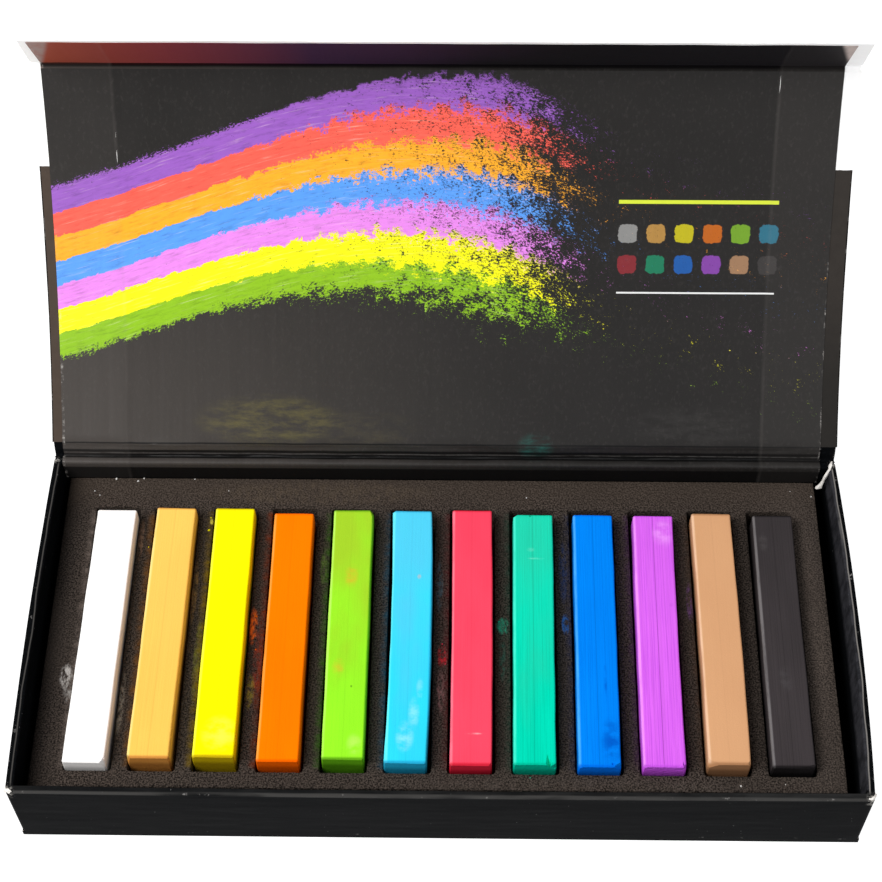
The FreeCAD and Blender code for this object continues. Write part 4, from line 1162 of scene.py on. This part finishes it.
WANDER = {"light_blue": 0.00055, "red": 0.0002, "purple": -0.0002, "tan": 0.0002}


print("breaks", sum(len(b) for b in BREAKS.values()), "sticks cracked", len(CRACKS))

# %% [markdown]
# The breaks are cut after the faces have wandered, so that a broken corner stays flat and
# sharp, as it is on the real chalk.

# %% The twelve sticks
def crack(piece, middle, place, size, turned):
    """Cut a small slanted notch."""
    wedge = fresh("cone", "wedge", vertices=4, radius1=0.0001, radius2=0.7, depth=1)
    wedge.scale = [v * MM for v in size]
    wedge.rotation_euler = [math.radians(v) for v in turned]
    wedge.location = (middle.x + place[0] * MM, middle.y + place[1] * MM, place[2] * MM)
    modify(piece, "BOOLEAN", operation="DIFFERENCE", solver="EXACT", object=wedge)
    bpy.data.objects.remove(wedge)


def moulded(colour):
    """One stick: wandering faces, a slight bow and its broken corners."""
    node = colour + "_pastel"
    low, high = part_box(node)
    middle = (low + high) / 2
    seed = COLOURS.index(colour) * 7.3
    cuts = [((0, low.y + 0.0004 + 0.0033 * i, 0), (0, 1, 0)) for i in range(1, 20)]
    cuts += [((middle.x + d, 0, 0), (1, 0, 0)) for d in (-0.0024, 0, 0.0024)]
    cuts += [((0, 0, low.z + d), (0, 0, 1)) for d in (0.0035, 0.0068)]

    def rule(point):
        part = 2 * (point.y - low.y) / (high.y - low.y) - 1
        point += waver(point, 0.011, 0.00011, seed) + waver(point, 0.0034, 0.00005, seed + 3)
        point.x += WANDER.get(colour, 0.0) * (0.5 - part * part)
        point.z = max(point.z, low.z)
        return point

    piece = copy_of(node, colour + "_stick_worn", colour + "_stick", cuts, rule, 34)
    points = [v.co.copy() for v in piece.data.vertices]
    for corner, depth, slant in BREAKS[colour]:
        slant = Vector(slant).normalized()
        tip = max(points, key=lambda point: point.dot(Vector(corner)))
        edit(piece)
        cut(tip - slant * depth, slant, use_fill=True, clear_outer=True)
        close()
    for notch in CRACKS.get(colour, []):
        crack(piece, middle, *notch)
    focus(piece)
    shade(34)
    wear(piece, CHALKS[colour])


for colour in COLOURS:
    moulded(colour)
print("sticks", len(COLOURS))

# %% [markdown]
# Across the two hinges nothing but paper holds the boards together. Behind the lid the cover paper
# dips into a gutter between the spine and the lid. At the flap the liner makes a sharp inside
# crease and the white cover goes round the outside. Each is a sheet along a path.

# %% Paper across the hinges
SPINE_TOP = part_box("spine_board")[1].z
COVER_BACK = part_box("spine_cover_paper")[1].y
FLAP_LOW, FLAP_HIGH, FLAP_ROWS = 0.0016, 0.0162, 12
EDGE_WIDE = 0.0183


def from_flap(point):
    return from_lid(point, FLAP_HINGE, FLAP_RISE)


def puckered(seed, deep):
    """Small folds that run along a hinge, quiet where the paper is glued to a board."""
    def rule(across, row, point):
        fold = waver((across, row * 0.0012, 0), 0.009, deep, seed)
        return point + Vector((0, fold.y, fold.z))
    return rule


def curve(first, corner, last, part):
    """A point of the smooth bend from first to last that leans towards a corner."""
    return first * (1 - part) ** 2 + corner * 2 * part * (1 - part) + last * part * part


def crossing(first, first_rise, second, second_rise):
    """Where two straight sheets would meet, seen from the side."""
    one = Vector((0, math.cos(first_rise), math.sin(first_rise)))
    two = Vector((0, math.cos(second_rise), math.sin(second_rise)))
    gap = second - first
    return first + one * ((gap.y * two.z - gap.z * two.y) / (one.y * two.z - one.z * two.y))


def round_crease(first, last, pull=0.25):
    """A path that follows the lid and then the flap, and turns in a small round."""
    corner = crossing(first, RISE, last, FLAP_RISE)
    before, after = corner.lerp(first, pull), corner.lerp(last, pull)
    turn = [curve(before, corner, after, part) for part in (0, 0.2, 0.4, 0.6, 0.8, 1.0)]
    return [first, first.lerp(before, 0.5), *turn, after.lerp(last, 0.5), last]


def turned_edges(name, path, finish, bodies, start, end, node):
    """The cover's folded-in edges where they cross a hinge, one at each side of the box."""
    strips = [sheet_along(name, path, left, left + EDGE_WIDE, 8, puckered(61.0, 0.00002), 0.00012)
              for left in (-HALF_LENGTH, HALF_LENGTH - EDGE_WIDE)]
    span(join(*strips[::-1]), finish, bodies, start, end, node)


print("top of the spine", round(SPINE_TOP / MM, 2), "mm")

# %% [markdown]
# Behind the lid the cover paper hangs in the gutter from the spine's top edge to the lid's
# lower edge. Beside the lining the cover's turned-in edges cross the same gutter inside.

# %% Paper behind the lid
start = Vector((0, COVER_BACK, SPINE_TOP))
end = from_lid((0, LID_LOW, -0.00105))
dip = start.lerp(end, 0.5) + Vector((0, -0.0006, -0.0002))
path = [start.yz, (start.y - 0.00006, start.z + 0.0005)]
for part in (0.1, 0.25, 0.4, 0.55, 0.7, 0.85):
    place = curve(start, dip, end, part)
    path.append((place.y, place.z + 0.0005 * (1 - part)))
path.append(end.yz)
cover = sheet_along("hinge_cover_sheet", path[::-1], -HALF_LENGTH, HALF_LENGTH, 120,
                    puckered(21.0, 0.00008))
span(cover, CASE_COVER, ("tray", "lid"), start, end, "lid_hinge_paper")

path = [(0.04374, 0.0229), (0.04386, 0.0225), (0.04405, 0.02215), (0.0444, 0.0220),
        (0.0447, 0.0221), (0.04495, 0.0226), (0.04505, 0.0234), (0.0452, 0.0240),
        (0.04545, 0.0245), (0.04565, 0.0250), (0.0458, 0.02545), (0.04597, 0.02582)]
turned_edges("lid_turned_edges", path, CASE_COVER, ("tray", "lid"), GUTTER_START, GUTTER_END,
             "lid_hinge_paper")

# %% [markdown]
# The flap's lining follows the lid's face up to the crease, turns in a small round and runs to
# the flap's free edge, which was cut a little unevenly.

# %% The flap's lining
start, end = from_lid((0, LID_HIGH, LINER_FACE)), from_flap((0, FLAP_LOW, 0.0018))
places = round_crease(start, end)
crease_rows = len(places)
places += [from_flap((0, FLAP_LOW + (FLAP_HIGH - FLAP_LOW) * i / FLAP_ROWS, 0.0018))
           for i in range(1, FLAP_ROWS + 1)]


def flap_rule(across, row, point):
    """The free edge of the sheet was cut a little unevenly and has lifted in places."""
    if row < crease_rows:
        return point + waver((across, row * 0.001, 0), 0.01, 0.00006, 31.0)
    local = to_lid(point, FLAP_HINGE, FLAP_RISE)
    out = (row - crease_rows) / (FLAP_ROWS - 1)
    local.y += 0.00022 * noise.noise(Vector((across * 60, 3.0, 0))) * out
    local.z += 0.00005 * noise.noise(Vector((across * 90, out * 2, 7.0)))
    inner = 1 - ease(abs(across), 0.0788, 0.0798)
    local.z -= 0.00010 * inner * (1 - out)
    return from_flap(local)


flap_sheet = sheet_along("flap_liner_sheet", [p.yz for p in places], LINER_LEFT, LINER_RIGHT,
                         150, flap_rule)
span(flap_sheet, FLAP_LINER, ("lid", "flap"), start, end, "flap_hinge_liner", "flap_liner")

# %% [markdown]
# Outside, the white cover goes round the same fold in a wider bend, and its turned-in edges
# close the fold inside. The flap's cover and board get small dents at the edge a thumb lifts.

# %% The flap's fold and its dents
start, end = from_lid((0, LID_HIGH, -0.00105)), from_flap((0, FLAP_LOW, -0.00015))
path = [p.yz for p in round_crease(start, end, 0.6)]
outer_fold = sheet_along("flap_fold_sheet", path[::-1], -LID_HALF, LID_HALF, 120,
                         puckered(41.0, 0.00005))
span(outer_fold, FLAP_COVER, ("lid", "flap"), start, end, "flap_hinge_paper")

start, end = from_lid((0, LID_HIGH, 0.00072)), from_flap((0, FLAP_LOW, 0.00162))
path = [p.yz for p in round_crease(start, end, 0.5)]
turned_edges("flap_turned_edges", path, FLAP_COVER, ("lid", "flap"), start, end,
             "flap_hinge_paper")


def handled(point):
    """The flap's free edge and its two corners are a little dented."""
    local = to_lid(point, FLAP_HINGE, FLAP_RISE)
    end = ease(local.y, 0.013, 0.0176)
    local.y += 0.00028 * end * noise.noise(Vector((local.x * 45, 1.0, 0)))
    local.z += 0.00012 * end * noise.noise(Vector((local.x * 70, 5.0, 0)))
    tip = ease(abs(local.x), 0.0915, LID_HALF) * ease(local.y, 0.0150, 0.0176)
    local.x -= math.copysign(0.0005 * tip, local.x)
    local.y -= 0.0005 * tip
    return from_flap(local)


for node in ("flap_cover_paper", "flap_board"):
    copy_of(node, node + "_handled", "flap", front_cuts, handled, 40)
print("hinge papers ready")

# %% [markdown]
# The folded paper has split at three corners, where the box is handled most. Each split is a
# small curl of torn white fibre that stands a little off the wall. A narrow grid laid along a
# short path and made rough is enough, because a tear is seen only as a bright ragged line.

# %% Torn corners
CURL_COLUMNS = 4


def tear(name, seed, width, widths, *path):
    """A ragged curl along a path in millimetres: its direction, and how wide at each place."""
    curl = fresh("grid", name, x_subdivisions=CURL_COLUMNS, y_subdivisions=len(path) - 1, size=1)
    for index, vertex in enumerate(curl.data.vertices):
        row, column = divmod(index, CURL_COLUMNS + 1)
        aside = Vector(width) * (column / CURL_COLUMNS - 0.5) * widths[row]
        ragged = noise.noise_vector(Vector((row * 0.9, column * 0.8, seed))) * 0.00028
        vertex.co = Vector(path[row]) * MM + aside + ragged
    edit(curl)
    bpy.ops.mesh.normals_make_consistent(inside=False)
    bpy.ops.mesh.subdivide(number_cuts=1, smoothness=0.6, fractal=0.4, seed=seed)
    close()
    modify(curl, "SOLIDIFY", thickness=0.00025)
    shade(60)
    wear(curl, TORN)
    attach(curl, "tray")


tear("torn_back_right", 5, (0.0010, -0.0007, 0.0004), (0.3, 0.5, 0.4, 0.3, 0.3, 0.7, 0.9, 0.5),
     (93.2, 43.3, 23.3), (92.8, 42.4, 23.2), (92.4, 41.5, 22.7), (91.8, 40.7, 21.6),
     (91.3, 40.3, 20.1), (90.9, 40.0, 18.8), (90.5, 39.8, 17.8), (90.1, 39.7, 17.2))
tear("torn_front_left", 8, (0.0006, 0.0008, 0.0003), (0.4, 0.9, 0.8, 0.3),
     (-93.9, -43.0, 22.9), (-93.6, -43.3, 23.1), (-93.2, -43.5, 23.2), (-92.6, -43.6, 23.1))
tear("torn_front_right", 11, (0.0007, 0.0010, 0.0003), (0.4, 0.9, 0.9, 0.4),
     (93.9, -42.2, 23.0), (93.9, -42.8, 23.25), (93.4, -43.3, 23.3), (92.5, -43.4, 23.1))
print("torn corners ready")

# %% [markdown]
# Crumbs of chalk lie where they fell: on the foam, on the rim and against the back wall. Each
# is a small rough ball, half sunk in. One mesh for each pigment keeps the list of pieces short.

# %% Crumbs of chalk
CRUMBS = {
    "white": [(-79.6, 41.2, 0.16), (-74.3, 40.6, 0.15), (-72.9, 41.4, 0.11), (-60.5, 41.3, 0.10),
              (-84.5, 37.7, 0.11), (-83.1, 36.5, 0.09), (88.6, 37.5, 0.13), (83.7, 39.0, 0.08),
              (66.2, -37.9, 0.13), (-52.0, 38.0, 0.08), (20.0, 36.6, 0.09), (76.0, -37.4, 0.08)],
    "yellow": [(-55.9, 26.8, 0.19), (-55.7, 30.3, 0.12), (-69.9, 22.0, 0.10)],
    "orange": [(-43.0, 3.5, 0.13), (-42.6, -5.2, 0.10)],
    "red": [(1.0, -8.5, 0.11), (0.2, -3.4, 0.09)],
    "teal": [(13.2, 2.6, 0.11), (20.0, -36.4, 0.08)],
}


def crumbs(colour, places):
    """All the loose bits of one pigment, half sunk into the foam they lie on."""
    bits = []
    for number, (x, y, radius) in enumerate(places):
        bit = fresh("ico_sphere", colour + "_crumbs", subdivisions=1, radius=radius * 2 * MM,
                    location=(x * MM, y * MM, FOAM_HIGH.z))
        bpy.ops.object.transform_apply(location=True)
        for vertex in bit.data.vertices:
            where = vertex.co * 6000 + Vector((number, 0, 0))
            vertex.co += noise.noise_vector(where) * radius * MM
        bits.append(bit)
    heap = join(*bits)
    wear(heap, CHALKS[colour])
    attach(heap, "tray")


for colour, places in CRUMBS.items():
    crumbs(colour, places)
print("crumbs", sum(len(places) for places in CRUMBS.values()))
